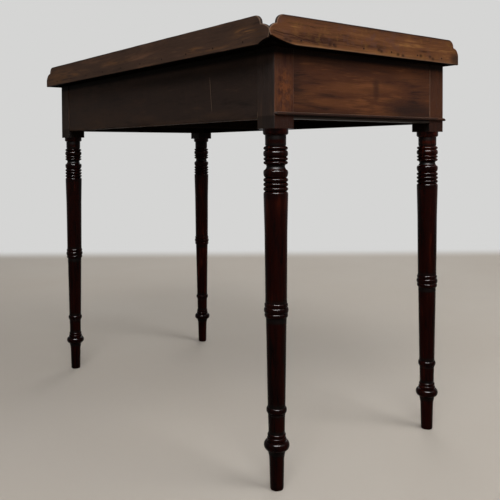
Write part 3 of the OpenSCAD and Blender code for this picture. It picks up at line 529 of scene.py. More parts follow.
class Grain:
    """The grain of timber: figure, streaks, bands, fibres and pores, slow to fine, each 0 to 1."""

    def __init__(self, paint, along, seed, figure=7.0, drawn=9.0, waver=0.012):
        """The seed picks the place in the wood. A slow waver, in metres, bends the grain, which is
        drawn out along one axis, the fibres three times as far and the figure half as far."""
        def by_axis(lengthwise, across):
            """One number for the grain's own axis and another for the other two."""
            return tuple(lengthwise if axis == along else across for axis in range(3))

        graph = paint.graph
        shifted = paint.place + (seed * 3.1, seed * 1.7, seed * 2.3)
        bend = graph.noise(shifted, 3.0, 2.0) - 0.5
        offset = graph.node("ShaderNodeVectorMath", {"operation": "SCALE"}, by_axis(0.0, 2 * waver), bend)
        self.place = shifted + Place(graph, offset.outputs["Vector"])
        half = self.place * by_axis(0.5 + 0.5 / drawn, 1.0)
        full = self.place * by_axis(1 / drawn, 1.0)
        fine = self.place * by_axis(1 / (3 * drawn), 1.0)
        self.graph = graph
        self.figure = graph.noise(half, figure, 4.0, 0.55)
        self.streaks = graph.noise(full, STREAKS, 5.0, 0.62)
        self.bands = graph.noise(full, BANDS, 3.0, 0.6)
        self.fibres = graph.noise(fine, FIBRES, 3.0, 0.7)
        self.pores = graph.noise(fine, PORES, 1.0, 0.5).ease(0.60, 0.72)

    def colour(self, dark, mid, light, contrast=1.0):
        """The grain's colour: its parts, weighed, lean it from dark through mid to light."""
        weighed = ((self.figure, 1.2), (self.streaks, 1.5), (self.bands, 0.85), (self.fibres, 0.6))
        lean = sum((part - 0.5) * (weight * contrast) for part, weight in weighed)
        low = self.graph.mix(lean.ease(-0.42, 0.02), dark, mid)
        return self.graph.mix(lean.ease(0.06, 0.48), low, light)

    def height(self, pore=1.0, streak=0.5):
        """Height of the wood's surface, in shares of its depth."""
        return self.streaks * streak + self.fibres * 0.35 - self.pores * pore


def turned_wood(tones):
    """Dark, red, french-polished mahogany of the turnings: grain runs up the leg, dirt lies in
    the grooves, and the crests are blackest."""
    paint = Paint("turned_mahogany")
    grain = Grain(paint, ALONG_Z, 6.0, figure=9.0, drawn=10.0, waver=0.006)
    crest = paint.graph.mark("crest")
    dirt = crest.ease(-0.25, -0.9) * 0.8
    scuffs = paint.graph.noise(grain.place, 90.0, 4.0, 0.7)
    paint.colour = grain.colour(tones.leg_dark, tones.leg_mid, tones.leg_light)
    paint.over(crest.ease(0.0, 0.6) * 0.45, tones.leg_dark)
    paint.over(dirt, tones.grime)
    roughness = 0.1 + scuffs * 0.1 + dirt * 0.3 + grain.pores * 0.08
    return paint.finish(roughness, grain.height(0.5, 0.4), 0.03 * MM, specular=0.03)


def post_wood(tones):
    """Satin mahogany of the leg blocks: upright grain, orange where the polish is rubbed through,
    black on the table's back, with painted shade below the bead and under the top."""
    paint = Paint("post_mahogany")
    grain = Grain(paint, ALONG_Z, 4.0, figure=14.0, drawn=8.0, waver=0.008)
    lo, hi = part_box("leg_back_left")
    waist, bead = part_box("side_rail_left")[0].z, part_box("bead_left")[0].z
    paint.colour = grain.colour(tones.post_dark, tones.post_mid, tones.post_light, 0.8)
    rubbed_at, reach = (lo.x, hi.y - 22 * MM, waist + 45 * MM), (50 * MM, 16 * MM, 34 * MM)
    rubbed = paint.graph.spot(paint.place, rubbed_at, reach, 0.6)
    mottle = paint.graph.noise(paint.place, 95.0, 4.0, 0.65) * 0.6 + grain.streaks * 0.4
    paint.over(rubbed * mottle.ease(0.44, 0.58) * 0.6, tones.post_light)
    arris = paint.graph.mark("edge").ease(0.75, 1.0) * grain.figure.ease(0.4, 0.65)
    paint.over(arris * 0.42, tones.worn_edge)
    below = paint.up.ease(bead + 1 * MM, bead - 2 * MM)
    outer = abs(paint.x).ease(-lo.x - 2 * MM, -lo.x - 0.5 * MM)
    # Below the bead: the block's red-brown foot tone, with painted shade on its inner faces and, by half,
    # on its stained back face
    paint.over(below * 0.92, tones.post_low)
    paint.over(below * (1 - outer) * 0.85, tones.grime)
    stained = paint.y.ease(hi.y - 1.6 * MM, hi.y - 0.4 * MM)
    black = grain.colour(tones.back_dark, tones.back_mid, tones.back_light, 0.6)
    paint.over(stained, paint.graph.mix(below * 0.5, black, tones.grime))
    # Painted shade under the top's overhang
    paint.shelter(tones)
    roughness = 0.4 + grain.streaks * 0.16 + stained * 0.2
    return paint.finish(roughness, grain.height(), 0.18 * MM, specular=0.02)


# Cloudy patches on the side rails: Y and Z of the middle, half length and half height, in
# millimetres, and strength, below zero for a dark one
FRIEZE_CLOUDS = (
    (138, 662, 44, 13, 0.6), (43, 684, 60, 9, 0.5), (-52, 690, 40, 8, 0.45),
    (-125, 713, 38, 10, 0.45), (70, 655, 44, 8, 0.4), (-27, 694, 8, 12, -0.6),
    (-27, 676, 7, 12, -0.5), (-128, 650, 74, 13, -1.0), (120, 728, 80, 8, -0.6),
    (40, 722, 70, 9, -0.35), (174, 706, 14, 30, -0.6), (-81, 665, 34, 8, -0.4))


def side_rail_wood(tones):
    """Mottled satin mahogany of the side rails, its grain along the table's side: dirty above the
    bead, in painted shade below it, and grey along the lower arris: dust and painted floor light."""
    paint = Paint("frieze_mahogany")
    grain = Grain(paint, ALONG_Y, 2.0, figure=11.0, drawn=13.0, waver=0.02)
    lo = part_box("side_rail_left")[0]
    bead, bead_top = (corner.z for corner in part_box("bead_left"))
    paint.colour = grain.colour(tones.frieze_dark, tones.frieze_mid, tones.frieze_light, 1.1)
    gaps = grain.streaks.ease(0.35, 0.55) * 0.7 + 0.3
    paint.clouds(FRIEZE_CLOUDS, ALONG_X, lo.x, gaps, tones.frieze_light, tones.frieze_dark)
    # Painted shade under the bead
    below = paint.up.ease(bead + 1 * MM, bead - 0.5 * MM)
    paint.over(below * 0.92, tones.grime)
    # The lower arris and lip take a grey that is dust and a painted light from the floor
    lip = paint.up.ease(lo.z + 4.2 * MM, lo.z + 2.8 * MM)
    dusty = paint.graph.mark("edge").ease(0.55, 0.9).most(lip)
    paint.over(dusty * below * 0.85, tones.grey_edge)
    above = paint.up.ease(bead_top + 7 * MM, bead_top + 1 * MM)
    above = above * paint.up.ease(bead_top - 2 * MM, bead_top - 1 * MM)
    paint.over(above * (grain.streaks.ease(0.6, 0.35) * 0.4 + 0.3), tones.frieze_dark)
    # Painted shade under the top's overhang
    paint.shelter(tones)
    roughness = 0.36 + grain.streaks * 0.16 + grain.pores * 0.1
    return paint.finish(roughness, grain.height(), 0.15 * MM, specular=0.024)


# Y and Z of old nail holes and knots in the left gallery board, in millimetres, their half sizes,
# and where the right board has its own, as a share of these Ys
OLD_NAIL_HOLES = ((217, 752), (209, 750), (118, 752), (106, 751), (-6, 754), (-13, 752), (-59, 750),
                  (-73, 749), (-126, 753), (-154, 753), (-163, 750))
HOLE_REACH = (1.0, 4.2 * MM, 2.8 * MM)
RIGHT_HOLES = -0.8
# How the drying cracks rise towards the back corner; then each one's level above the board's foot
# at the table's middle, the Y where it starts, and its strength
CRACK_SLOPE = 0.118
CRACKS = ((-9.0, 135, 1.0), (-13.5, 185, 0.55))


def gallery_wood(tones, name, seed, marked):
    """Oxidised mahogany of a side gallery board: long streaks, ochre clouds, dark old nail holes
    near the lower edge, and on the left board, which is marked, drying cracks."""
    paint = Paint(name)
    grain = Grain(paint, ALONG_Y, seed, figure=12.0, drawn=14.0, waver=0.014)
    lo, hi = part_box("gallery_left")
    up, height = paint.up, grain.height()
    paint.colour = grain.colour(tones.gallery_dark, tones.gallery_mid, tones.gallery_light, 1.1)
    patches = paint.graph.noise(grain.place, 48.0, 3.0, 0.6)
    paint.over(patches.ease(0.52, 0.7) * 0.5, tones.bloom)
    paint.over(patches.ease(0.47, 0.3) * 0.4, tones.ochre)
    lower = up.ease(lo.z + 16 * MM, lo.z + 2 * MM) * grain.streaks.ease(0.38, 0.62)
    paint.over(lower * 0.4, tones.gallery_light)
    paint.over(up.ease(hi.z - 12 * MM, hi.z - 1 * MM) * 0.45, tones.gallery_dark)
    for y, z in OLD_NAIL_HOLES:
        middle = (0.0, y * MM * (1 if marked else RIGHT_HOLES), z * MM)
        hole = paint.graph.spot(paint.place, middle, HOLE_REACH, 0.8)
        paint.over(hole * 0.9, tones.knot)
        height = height - hole * 1.5
    if marked:
        wander = (paint.graph.noise(grain.place, 55.0, 3.0) - 0.5) * (6 * MM)
        for level, start, depth in CRACKS:
            gap = abs(up - (paint.y * CRACK_SLOPE + (lo.z + level * MM)) + wander)
            reach = paint.y.ease(start * MM, (start + 25) * MM)
            reach = reach * paint.y.ease(hi.y, hi.y - 12 * MM)
            crack = gap.ease(0.9 * MM, 0.2 * MM) * reach * depth
            paint.over(crack * 0.85, tones.knot)
            paint.over(gap.ease(5 * MM, 0.0) * reach * (0.3 * depth), tones.gallery_dark)
            height = height - crack * 3.0
    paint.over(up.ease(hi.z - 3.5 * MM, hi.z - 1.5 * MM) * 0.75, tones.rim)
    lip = up.ease(lo.z + 3.2 * MM, lo.z + 1.2 * MM) * grain.figure.ease(0.25, 0.5)
    paint.over(lip * 0.4, tones.worn_edge)
    end_at, end_reach = (0.0, lo.y + 8 * MM, lo.z + 10 * MM), (1.0, 18 * MM, 12 * MM)
    paint.over(paint.graph.spot(paint.place, end_at, end_reach, 0.5) * 0.75, tones.rim)
    gallery_rim(paint, grain, tones)
    roughness = 0.5 + grain.streaks * 0.18 + grain.pores * 0.1
    return paint.finish(roughness, height, 0.2 * MM, specular=0.018)


def gallery_rim(paint, grain, tones):
    """Lays on a gallery board's rim: dark ends, a pale line on the scrolls' arrises that is rubbed
    wood and a painted highlight, and painted shade on the underside."""
    paint.over(paint.graph.mark("rim") * 0.9, tones.rim)
    # Pale line on the scrolls' arrises: rubbed wood and a painted highlight
    rubbed = paint.graph.mark("arris") * grain.figure.ease(0.2, 0.5)
    paint.over(rubbed * 0.75, tones.worn_edge)
    # Painted shade on the underside
    paint.over(paint.graph.mark("under"), tones.grime)


# Cloudy patches on the back gallery board: X and Z of the middle, then as on the side rails
BACK_CLOUDS = (
    (-384, 770, 16, 4, 0.9), (-405, 768, 12, 3, 0.5), (-239, 757, 26, 4, 0.6),
    (-300, 752, 60, 3, 0.25), (60, 768, 60, 6, 0.3), (260, 762, 50, 6, 0.3),
    (-425, 760, 14, 20, -0.5), (-100, 775, 80, 8, -0.4), (160, 752, 90, 6, -0.3),
    (-340, 781, 60, 5, -0.5), (370, 764, 90, 18, 0.3), (-395, 764, 40, 16, 0.2))


def back_gallery_wood(tones):
    """Grey-brown wood of the back gallery board, bare and ochre in worn places low on it."""
    paint = Paint("back_gallery_wood")
    grain = Grain(paint, ALONG_X, 6.0, figure=10.0, drawn=13.0, waver=0.016)
    dark, light = tones.back_gallery_dark, tones.back_gallery_light
    paint.colour = grain.colour(dark, tones.back_gallery_mid, light, 0.7)
    gaps = grain.bands.ease(0.38, 0.56)
    paint.clouds(BACK_CLOUDS, ALONG_Y, 0.0, gaps, tones.gallery_light, dark)
    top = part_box("gallery_back")[1].z
    paint.over(paint.up.ease(top - 3 * MM, top - 1 * MM) * 0.4, tones.rim)
    gallery_rim(paint, grain, tones)
    return paint.finish(0.55 + grain.streaks * 0.2, grain.height(), 0.2 * MM, specular=0.018)


# Cloudy patches on the back rail, as on the back gallery board
RAIL_CLOUDS = (
    (200, 650, 120, 18, 0.35), (-300, 640, 60, 6, 0.5), (0, 640, 50, 8, 0.5),
    (330, 690, 40, 40, 0.2), (-120, 715, 160, 12, -0.6), (-330, 720, 60, 20, -0.5),
    (150, 700, 60, 20, -0.3))
# Pale scratches on the back rail: the X of the line at floor level, how X grows with height, the
# two levels it starts between, the two it ends between, half width, strength and depth
RAIL_SCRATCHES = ((-316.5, 0.1, (640, 655), (712, 700), 0.8, 0.6, 1.0),
                  (-384.5, 0.0, (610, 614), (642, 634), 0.7, 0.7, 0.0))


def back_wood(tones):
    """Black-stained deal of the back rail: upright tool marks, a worn lower edge, pale scratches."""
    paint = Paint("stained_back_wood")
    grain = Grain(paint, ALONG_X, 9.0, figure=6.0, drawn=7.0, waver=0.01)
    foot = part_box("back_rail")[0].z
    tool = paint.graph.noise(paint.place * (1.0, 1.0, 0.08), 160.0, 3.0, 0.6)
    height = grain.height() + tool * 0.8
    paint.colour = grain.colour(tones.back_dark, tones.back_mid, tones.back_light, 0.55)
    paint.over(tool.ease(0.55, 0.75) * 0.25, tones.back_light)
    low_edge = paint.up.ease(foot + 14 * MM, foot) * grain.streaks.ease(0.35, 0.6)
    paint.over(low_edge * 0.5, tones.back_light)
    gaps = grain.figure.ease(0.3, 0.6)
    paint.clouds(RAIL_CLOUDS, ALONG_Y, 0.0, gaps, tones.back_light, tones.back_dark)
    for x, slope, start, end, half_width, strength, depth in RAIL_SCRATCHES:
        scratch = abs(paint.x - paint.up * slope - x * MM).ease(half_width * MM, 0.2 * MM)
        for low, high in (start, end):
            scratch = scratch * paint.up.ease(low * MM, high * MM)
        paint.over(scratch * strength, tones.worn_edge)
        height = height - scratch * depth
    paint.over(paint.graph.mark("edge").ease(0.6, 1.0) * low_edge * 0.5, tones.back_light)
    # Painted shade under the top's overhang
    paint.shelter(tones)
    return paint.finish(0.55 + grain.streaks * 0.2, height, 0.2 * MM, specular=0.018)


def inside_wood(tones):
    """Bare, darkened deal of the pieces inside the frieze and under the top, its tones near black
    as painted shade of the table's dark inside.
    """
    paint = Paint("bare_inside_wood")
    grain = Grain(paint, ALONG_Y, 12.0, figure=6.0, drawn=8.0, waver=0.01)
    paint.colour = grain.colour(tones.inside_dark, tones.inside_mid, tones.inside_light, 0.7)
    return paint.finish(0.68 + grain.streaks * 0.2, grain.height(), 0.3 * MM, specular=0.0)


def drawer_wood(tones, name, along, seed):
    """Aged oak of the drawer linings, dusty and a little stained."""
    paint = Paint(name)
    grain = Grain(paint, along, seed, figure=8.0, drawn=9.0, waver=0.01)
    paint.colour = grain.colour(tones.drawer_dark, tones.drawer_mid, tones.drawer_light, 0.8)
    stain = paint.graph.noise(grain.place, 6.0, 4.0, 0.6)
    paint.over(stain.ease(0.55, 0.8) * 0.5, tones.inside_mid)
    return paint.finish(0.6 + grain.streaks * 0.2, grain.height(), 0.25 * MM, specular=0.0)


def polished_wood(tones, name, seed, node):
    """Figured, polished mahogany of the top, the drawer fronts and the front rails. Only a node's
    front, and the top board's upper face, are polished; the rest is bare, in a near-black tone that
    is painted shade."""
    paint = Paint(name)
    grain = Grain(paint, ALONG_X, seed, figure=7.0, drawn=6.0, waver=0.03)
    wear = paint.graph.noise(grain.place, 4.0, 3.0)
    scuffs = paint.graph.noise(grain.place, 40.0, 5.0, 0.7)
    lo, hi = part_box(node)
    polished = paint.y.ease(lo.y + 12 * MM, lo.y + 8 * MM)
    if node == "top_board":
        polished = polished * paint.up.ease(lo.z + 0.5 * MM, lo.z + 2 * MM)
        polished = polished.most(paint.up.ease(hi.z - 4 * MM, hi.z - 1 * MM))
    bare = 1 - polished
    paint.colour = grain.colour(tones.frieze_dark, tones.post_mid, tones.frieze_light, 0.75)
    paint.over(wear.ease(0.55, 0.8) * 0.4, tones.frieze_dark)
    # Unpolished faces take the near-black inside tone as painted shade
    paint.over(bare, tones.inside_dark)
    roughness = 0.26 + scuffs * 0.16 + grain.pores * 0.15 + bare * 0.6
    return paint.finish(roughness, grain.height(0.6, 0.3), 0.1 * MM, specular=0.0,
                        coat=polished * 0.5, coat_roughness=0.18)


def trim_wood(tones):
    """Rubbed mahogany of the beads and cockbeads: dark, in painted shade on the lower flank, with
    pale noses, rubbed and with a painted highlight.
    """
    paint = Paint("moulding_mahogany")
    grain = Grain(paint, ALONG_Y, 17.0, figure=20.0, drawn=4.0, waver=0.01)
    edge = paint.graph.mark("edge")
    paint.colour = grain.colour(tones.post_dark, tones.frieze_dark, tones.frieze_mid, 0.8)
    # Pale nose along the top: rubbed wood and a painted highlight
    nose = edge.ease(0.7, 0.95) * grain.figure.ease(0.3, 0.55)
    paint.over(nose * 0.34, tones.worn_edge)
    # Painted shade on the lower flank and underside
    paint.over(edge.ease(0.75, 0.2) * 0.95, tones.grime)
    return paint.finish(0.4 + grain.streaks * 0.2, grain.height(), 0.12 * MM, specular=0.015)


def iron(tones):
    """Rusted iron of nails and screws, rubbed bright in spots."""
    paint = Paint("rusted_iron")
    rust = paint.graph.noise(paint.place, 600.0, 4.0, 0.6)
    paint.colour = paint.graph.mix(rust.ease(0.45, 0.7), tones.iron_dark, tones.iron_light)
    return paint.finish(0.6 + rust * 0.35, rust, 0.1 * MM, specular=0.03)


def ring(level, height, inner, outer, steps=14, point=1.0):
    """A ring from its top down: radius inner + (outer - inner) (sin a)^point, for a from 0 to 180
    degrees. It is half round where point is 1, and comes to a blunt point where it is more."""
    a = np.linspace(0, math.pi, steps, endpoint=False)
    swell = np.sin(a) ** point
    return np.stack([inner + (outer - inner) * swell, level - height * (1 - np.cos(a)) / 2], axis=1)


def cove(level, height, start, least, end, steps=18):
    """A hollow: radius falls from start by a square law to least at 0.36 of the height, then rises
    to end by a power of 1.7."""
    run = np.linspace(0, 1, steps, endpoint=False)
    waist = 0.36
    above = least + (start - least) * (1 - run / waist) ** 2
    below = least + (end - least) * np.clip((run - waist) / (1 - waist), 0, 1) ** 1.7
    radius = np.where(run < waist, above, below)
    return np.stack([radius, level - height * run], axis=1)


def ovolo(level, height, outer, inner, steps=8):
    """A quarter round that starts upright and turns in: radius inner + (outer - inner) cos a."""
    a = np.linspace(0, math.pi / 2, steps, endpoint=False)
    return np.stack([inner + (outer - inner) * np.cos(a), level - height * np.sin(a)], axis=1)


def shoulder(level, height, start, end, steps=8):
    """A quarter round that starts level and ends upright, at radius end."""
    a = np.linspace(0, math.pi / 2, steps, endpoint=False)
    return np.stack([start + (end - start) * np.sin(a), level - height * (1 - np.cos(a))], axis=1)


def flare(level, height, start, end, steps=14):
    """A flare from its top down: the radius falls to end by a square law."""
    run = np.linspace(0, 1, steps, endpoint=False)
    return np.stack([end + (start - end) * (1 - run) ** 2, level - height * run], axis=1)


def taper(start_d, start_z, end_d, end_z, steps=12):
    """A straight run between two diameters and levels, without its last point."""
    run = np.linspace(0, 1, steps, endpoint=False)
    radius = (start_d + (end_d - start_d) * run) / 2
    return np.stack([radius, start_z + (end_z - start_z) * run], axis=1)


def leg_outline(s, block_z, half):
    """Half outline of the turned part, from under the block to the sole, as rows of radius and level.
    Each form starts where the one above it ends, and step is the small ledge between some of them."""
    groove, collar = s.groove_d / 2, half - s.collar_inset
    shaft, lower = s.shaft_low_d / 2, s.lower_low_d / 2
    ankle, foot = s.ankle_low_d / 2, s.foot_ring_d / 2
    step, point = 0.2 * MM, s.ring_point
    bulb_top, bulb_rise = (s.cove_d + s.bulb_d) / 4, 0.35 * s.bulb_h
    neck_z = block_z - s.collar_h
    runs = [taper(2 * collar, block_z, 2 * collar, neck_z + s.collar_round, 4),
            ovolo(neck_z + s.collar_round, s.collar_round, collar, s.neck_d / 2),
            taper(s.neck_d, neck_z, s.neck_d, neck_z - s.neck_h, 6)]
    level = neck_z - s.neck_h
    thin_ring = (s.thin_ring_h, s.thin_ring_d, point)
    for height, outer, peak in ((s.ring_top_h, s.thin_ring_d, point), (s.torus_h, s.torus_d, 0.8),
                                thin_ring, thin_ring):
        runs.append(ring(level, height, groove, outer / 2, 16, peak))
        level -= height
    runs.append(cove(level, s.cove_h, groove, s.cove_d / 2, bulb_top))
    level -= s.cove_h
    runs += [shoulder(level, bulb_rise, bulb_top, s.bulb_d / 2, 10),
             ovolo(level - bulb_rise, s.bulb_h - bulb_rise, s.bulb_d / 2, groove, 14)]
    level -= s.bulb_h
    for _ in range(3):
        runs.append(ring(level, s.triple_ring_h, groove + 2 * step, s.triple_ring_d / 2, 16, point))
        level -= s.triple_ring_h
    shaft_z = level - s.shoulder_h
    mid_z = s.mid_z + s.mid_torus_h / 2 + s.mid_ring_h
    torus_z, low_ring_z = mid_z - s.mid_ring_h, s.mid_z - s.mid_torus_h / 2
    ankle_z = s.ankle_z + s.ankle_ring_h / 2
    lip_z = ankle_z - s.ankle_ring_h
    foot_z = s.foot_z + s.foot_torus_h / 2
    foot_ring_z = foot_z + 2 * s.foot_ring_h
    toe_z = s.foot_z - s.foot_torus_h / 2
    runs += [
        shoulder(level, s.shoulder_h, groove, s.shaft_top_d / 2),
        taper(s.shaft_top_d, shaft_z, s.shaft_swell_d, shaft_z - s.swell_drop, 14),
        taper(s.shaft_swell_d, shaft_z - s.swell_drop, s.shaft_low_d, mid_z, 24),
        ring(mid_z, s.mid_ring_h, shaft + step, s.mid_ring_d / 2, 16, point),
        ring(torus_z, s.mid_torus_h, shaft + step, s.mid_torus_d / 2, 16),
        ring(low_ring_z, s.mid_ring_h, shaft + step, s.mid_ring_d / 2, 16, point),
        taper(s.lower_top_d, low_ring_z - s.mid_ring_h, s.lower_low_d, ankle_z, 24),
        ring(ankle_z, s.ankle_ring_h, lower, s.ankle_ring_d / 2, 16),
        ring(lip_z, s.ankle_lip_h, ankle + step, lower, 8),
        taper(s.ankle_top_d, lip_z - s.ankle_lip_h, s.ankle_low_d, foot_ring_z, 8),
        ring(foot_ring_z, s.foot_ring_h, ankle, foot - 4 * step, 14),
        ring(foot_ring_z - s.foot_ring_h, s.foot_ring_h, ankle + 5 * step, foot, 14),
        ring(foot_z, s.foot_torus_h, foot - 3 * step, s.foot_torus_d / 2, 22),
        flare(toe_z, s.toe_neck_h, foot - 3 * step, s.toe_top_d / 2),
        taper(s.toe_top_d, toe_z - s.toe_neck_h, s.toe_low_d, s.sole_h, 12),
        ovolo(s.sole_h, s.sole_h, s.toe_low_d / 2, s.sole_d / 2, 6),
        np.array([[s.sole_d / 2, 0.0]])]
    return np.concatenate(runs)


def crest_of(radii, levels):
    """How far each point of an outline stands out of its surroundings, from -1 in a groove to 1 on a
    crest: its radius less the mean radius, weighed by exp(-(dz / reach)^2), as a share of proud."""
    reach, proud = 7 * MM, 1.1 * MM
    near = np.exp(-((levels[:, None] - levels[None, :]) / reach) ** 2)
    mean = (near @ radii) / near.sum(axis=1)
    return np.clip((radii - mean) / proud, -1, 1)


def block_angles():
    """Directions round a leg, close together at the block's four corners."""
    quarter = np.concatenate([np.linspace(-42, 42, 22), np.linspace(43, 47, 6)])
    return np.radians(np.concatenate([quarter + 90 * k for k in range(4)]))


def square_radius(angles, half, arris):
    """Distance from the middle of a square to its edge in each direction, its corners rounded:
    half / cos a on the flats, and the far root of the corner circle's equation round 45 degrees."""
    folded = np.abs((angles + math.pi / 4) % (math.pi / 2) - math.pi / 4)
    flat = half / np.cos(folded)
    centre = half - arris
    lean = centre * (np.cos(folded) + np.sin(folded))
    root = lean ** 2 - 2 * centre ** 2 + arris ** 2
    round_part = lean + np.sqrt(np.maximum(root, 0))
    return np.where(half * np.tan(folded) > centre, round_part, flat)


def leg(name, node, s, materials, seed):
    """One leg as a single surface: square sections down the block, then circles down the turning.
    Hand turning takes up to out_of_round off the circles, and less near the sole. The edge mark
    grows by a square law towards the block's corners, and is 0.6 round its foot."""
    lo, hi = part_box(node)
    block_lo, block_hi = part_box("leg_back_left")
    half, chamfer = (block_hi.x - block_lo.x) / 2, s.block_chamfer
    block_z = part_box("side_rail_left")[0].z - s.block_drop
    angles = block_angles()
    square = square_radius(angles, half, s.block_arris)
    faces = np.linspace(hi.z - 2 * MM, block_z + chamfer, 20)
    block_levels = np.concatenate([[hi.z], faces, [block_z]])[:, None]
    widths = np.ones_like(block_levels)
    widths[-1] = (half - chamfer) / half
    outline = leg_outline(s, block_z, half)
    turned_r, turned_z = outline[:, :1], outline[:, 1:]
    uneven = ripple(turned_z, angles * (50 * MM), 350 * MM, seed) * s.out_of_round
    turned_r = turned_r - np.abs(uneven) * np.clip(turned_z / (10 * MM), 0, 1)
    radii = np.concatenate([widths * square, turned_r])
    levels = np.concatenate([block_levels, turned_z]) + np.zeros_like(radii)
    rows = len(block_levels)
    crest = np.concatenate([np.zeros(rows), crest_of(outline[:, 0], outline[:, 1])])
    edge = np.zeros_like(radii)
    corner_reach = 0.38 * half
    edge[:rows] = np.clip((square - half) / corner_reach, 0, 1) ** 2
    edge[rows - 2:rows] = 0.6
    points = np.stack([(lo.x + hi.x) / 2 + radii * np.cos(angles),
                       (lo.y + hi.y) / 2 + radii * np.sin(angles), levels], axis=-1)
    shell = Shell("crest", "edge")
    shell.tube(points, crest=crest[:, None], edge=edge)
    return shell.piece(name, *materials, pick=lambda centre: centre[:, 2] < block_z + chamfer / 2)


class TABLE_OT_legs(bpy.types.Operator):
    """Makes the four legs, each one piece of wood with its block and turning"""
    bl_idname = "table.legs"
    bl_label = "Legs"

    def execute(self, context):
        tones, sizes = context.scene.table_tones, context.scene.table_turning
        materials = (post_wood(tones), turned_wood(tones))
        for seed, corner in enumerate(("front_left", "front_right", "back_left", "back_right")):
            node = "leg_" + corner
            stand_in(leg("turned_" + node, node, sizes, materials, seed), node)
        return {"FINISHED"}


def top_edge(distance, s, height, lobe_l, nosed):
    """Height of a gallery board's upper edge at a distance from one end. The lobe rises from its foot
    to the cusp by (1 - d/l)^p + (z/h)^p = 1, with p = 2, or less on a nosed end, which makes its
    curve flatter. The quarter round above it is a quarter ellipse."""
    cusp = height - s.quarter_h
    foot = s.nose_z if nosed else cusp - s.lobe_h
    power = 2 / s.nose_power if nosed else 2
    out = np.clip(1 - distance / lobe_l, 0, 1)
    lobe = foot + (cusp - foot) * (1 - out ** power) ** (1 / power)
    run = 1 - np.clip((distance - lobe_l) / s.quarter_l, 0, 1)
    return np.where(distance < lobe_l, lobe, cusp + s.quarter_h * np.sqrt(1 - run ** 2))


def bottom_edge(distance, s, sweep, sweep_h, power):
    """Height of the cut under a nosed end: a quarter ellipse down from the nose's tip to sweep_h, then
    sweep_h (1 - t)^power, with t from 0 to 1 along the sweep."""
    chin = s.nose_z - (s.nose_z - sweep_h) * np.sqrt(1 - np.clip(1 - distance / s.nose_l, 0, 1) ** 2)
    run = np.clip((distance - s.nose_l) / (sweep - s.nose_l), 0, 1)
    return np.where(distance < s.nose_l, chin, sweep_h * (1 - run) ** power)


def edge_distance(u, v):
    """Distance of each point of a grid from the grid's own rim: the least of its distances to the
    rim's segments, worked out for a block of points at a time."""
    def round_rim(a):
        """A grid's values all the way round its rim."""
        return np.concatenate([a[0, :-1], a[:-1, -1], a[-1, :0:-1], a[:0:-1, 0]])

    start = np.stack([round_rim(u), round_rim(v)], axis=1)
    run = np.roll(start, -1, axis=0) - start
    tiny, block, least = 1e-14, 2000, []
    squared = np.maximum((run ** 2).sum(axis=1), tiny)
    points = np.stack([u.ravel(), v.ravel()], axis=1)
    for begin in range(0, len(points), block):
        part = points[begin:begin + block, None, :] - start[None]
        along = np.clip((part * run).sum(axis=2) / squared, 0, 1)
        gap = part - along[..., None] * run
        least.append(np.sqrt((gap ** 2).sum(axis=2)).min(axis=1))
    return np.concatenate(least).reshape(u.shape)


def board_outline(s, length, height, shape, seed):
    """Stations along a scrolled board, close together round its curves, and the heights of its lower
    and upper edges there. Between the scrolls the edges are worn by up to half a millimetre."""
    lobe_l, sweep, sweep_h, power = shape
    turning = 1 - np.cos(np.radians(np.arange(0, 91, 5)))
    end = np.concatenate([lobe_l * turning, lobe_l + s.quarter_l * turning])
    swept = np.arange(s.nose_l, sweep, 2.5 * MM)
    nose = s.nose_l * turning if sweep else swept
    middle = np.arange(lobe_l + s.quarter_l, length - lobe_l - s.quarter_l, 5 * MM)
    u = np.unique(np.round(np.concatenate([end, nose, swept, middle, length - end]), 6))
    top = np.minimum(top_edge(u, s, height, lobe_l, sweep > 0),
                     top_edge(length - u, s, height, lobe_l, False))
    low = bottom_edge(u, s, sweep, sweep_h, power) if sweep else np.zeros_like(u)
    worn = 0.25 * MM * (1 + ripple(u, 0 * u, 90 * MM, seed))
    worn = worn * np.clip((np.minimum(u, length - u) - lobe_l) / s.quarter_l, 0, 1)
    return u, low + 0.6 * worn, top - worn


def board_grid(arris, u, low, top):
    """The outline's grid of lengths and heights: rows close together within the worn arris of each
    edge, and twelve even ones between."""
    near = arris * np.array([0, 0.06, 0.2, 0.45, 0.75, 1.0, 1.6])
    low, top = low[:, None], top[:, None]
    room = np.minimum(1, (top - low) / (2.2 * near[-1]))
    first, last = low + near[-1] * room, top - near[-1] * room
    between = first + (last - first) * np.linspace(0, 1, 14)[1:-1]
    z = np.concatenate([low + near * room, between, top - near[::-1] * room], axis=1)
    return np.repeat(u[:, None], z.shape[1], axis=1), z


def rim_marks(s, from_end, d, lobe_l):
    """Marks near a board's rim, for d the distance from it and r the worn arris. rim falls from 1 to
    0 over half of r, and is weaker between the scrolls; arris, for rubbed wood and a painted
    highlight, is a bell at 0.6 r on the scrolls' arrises; under, for painted shade, falls to 0 over
    three quarters of r along the underside."""
    r = s.gallery_arris
    ends = np.clip((lobe_l + 0.95 * s.quarter_l - from_end) / (2 * MM), 0, 1)
    upper = np.arange(d.shape[1]) >= d.shape[1] / 2
    scrolled = ends * np.maximum(upper, from_end < s.nose_l)
    return {"rim": np.clip(1.4 - 2.8 * d / r, 0, 1) * (0.35 + 0.65 * scrolled),
            "arris": np.exp(-((d - 0.6 * r) / (0.4 * r)) ** 2) * scrolled,
            "under": np.clip(1.2 - 1.6 * d / r, 0, 1) * ~upper * (1 - 0.8 * scrolled)}


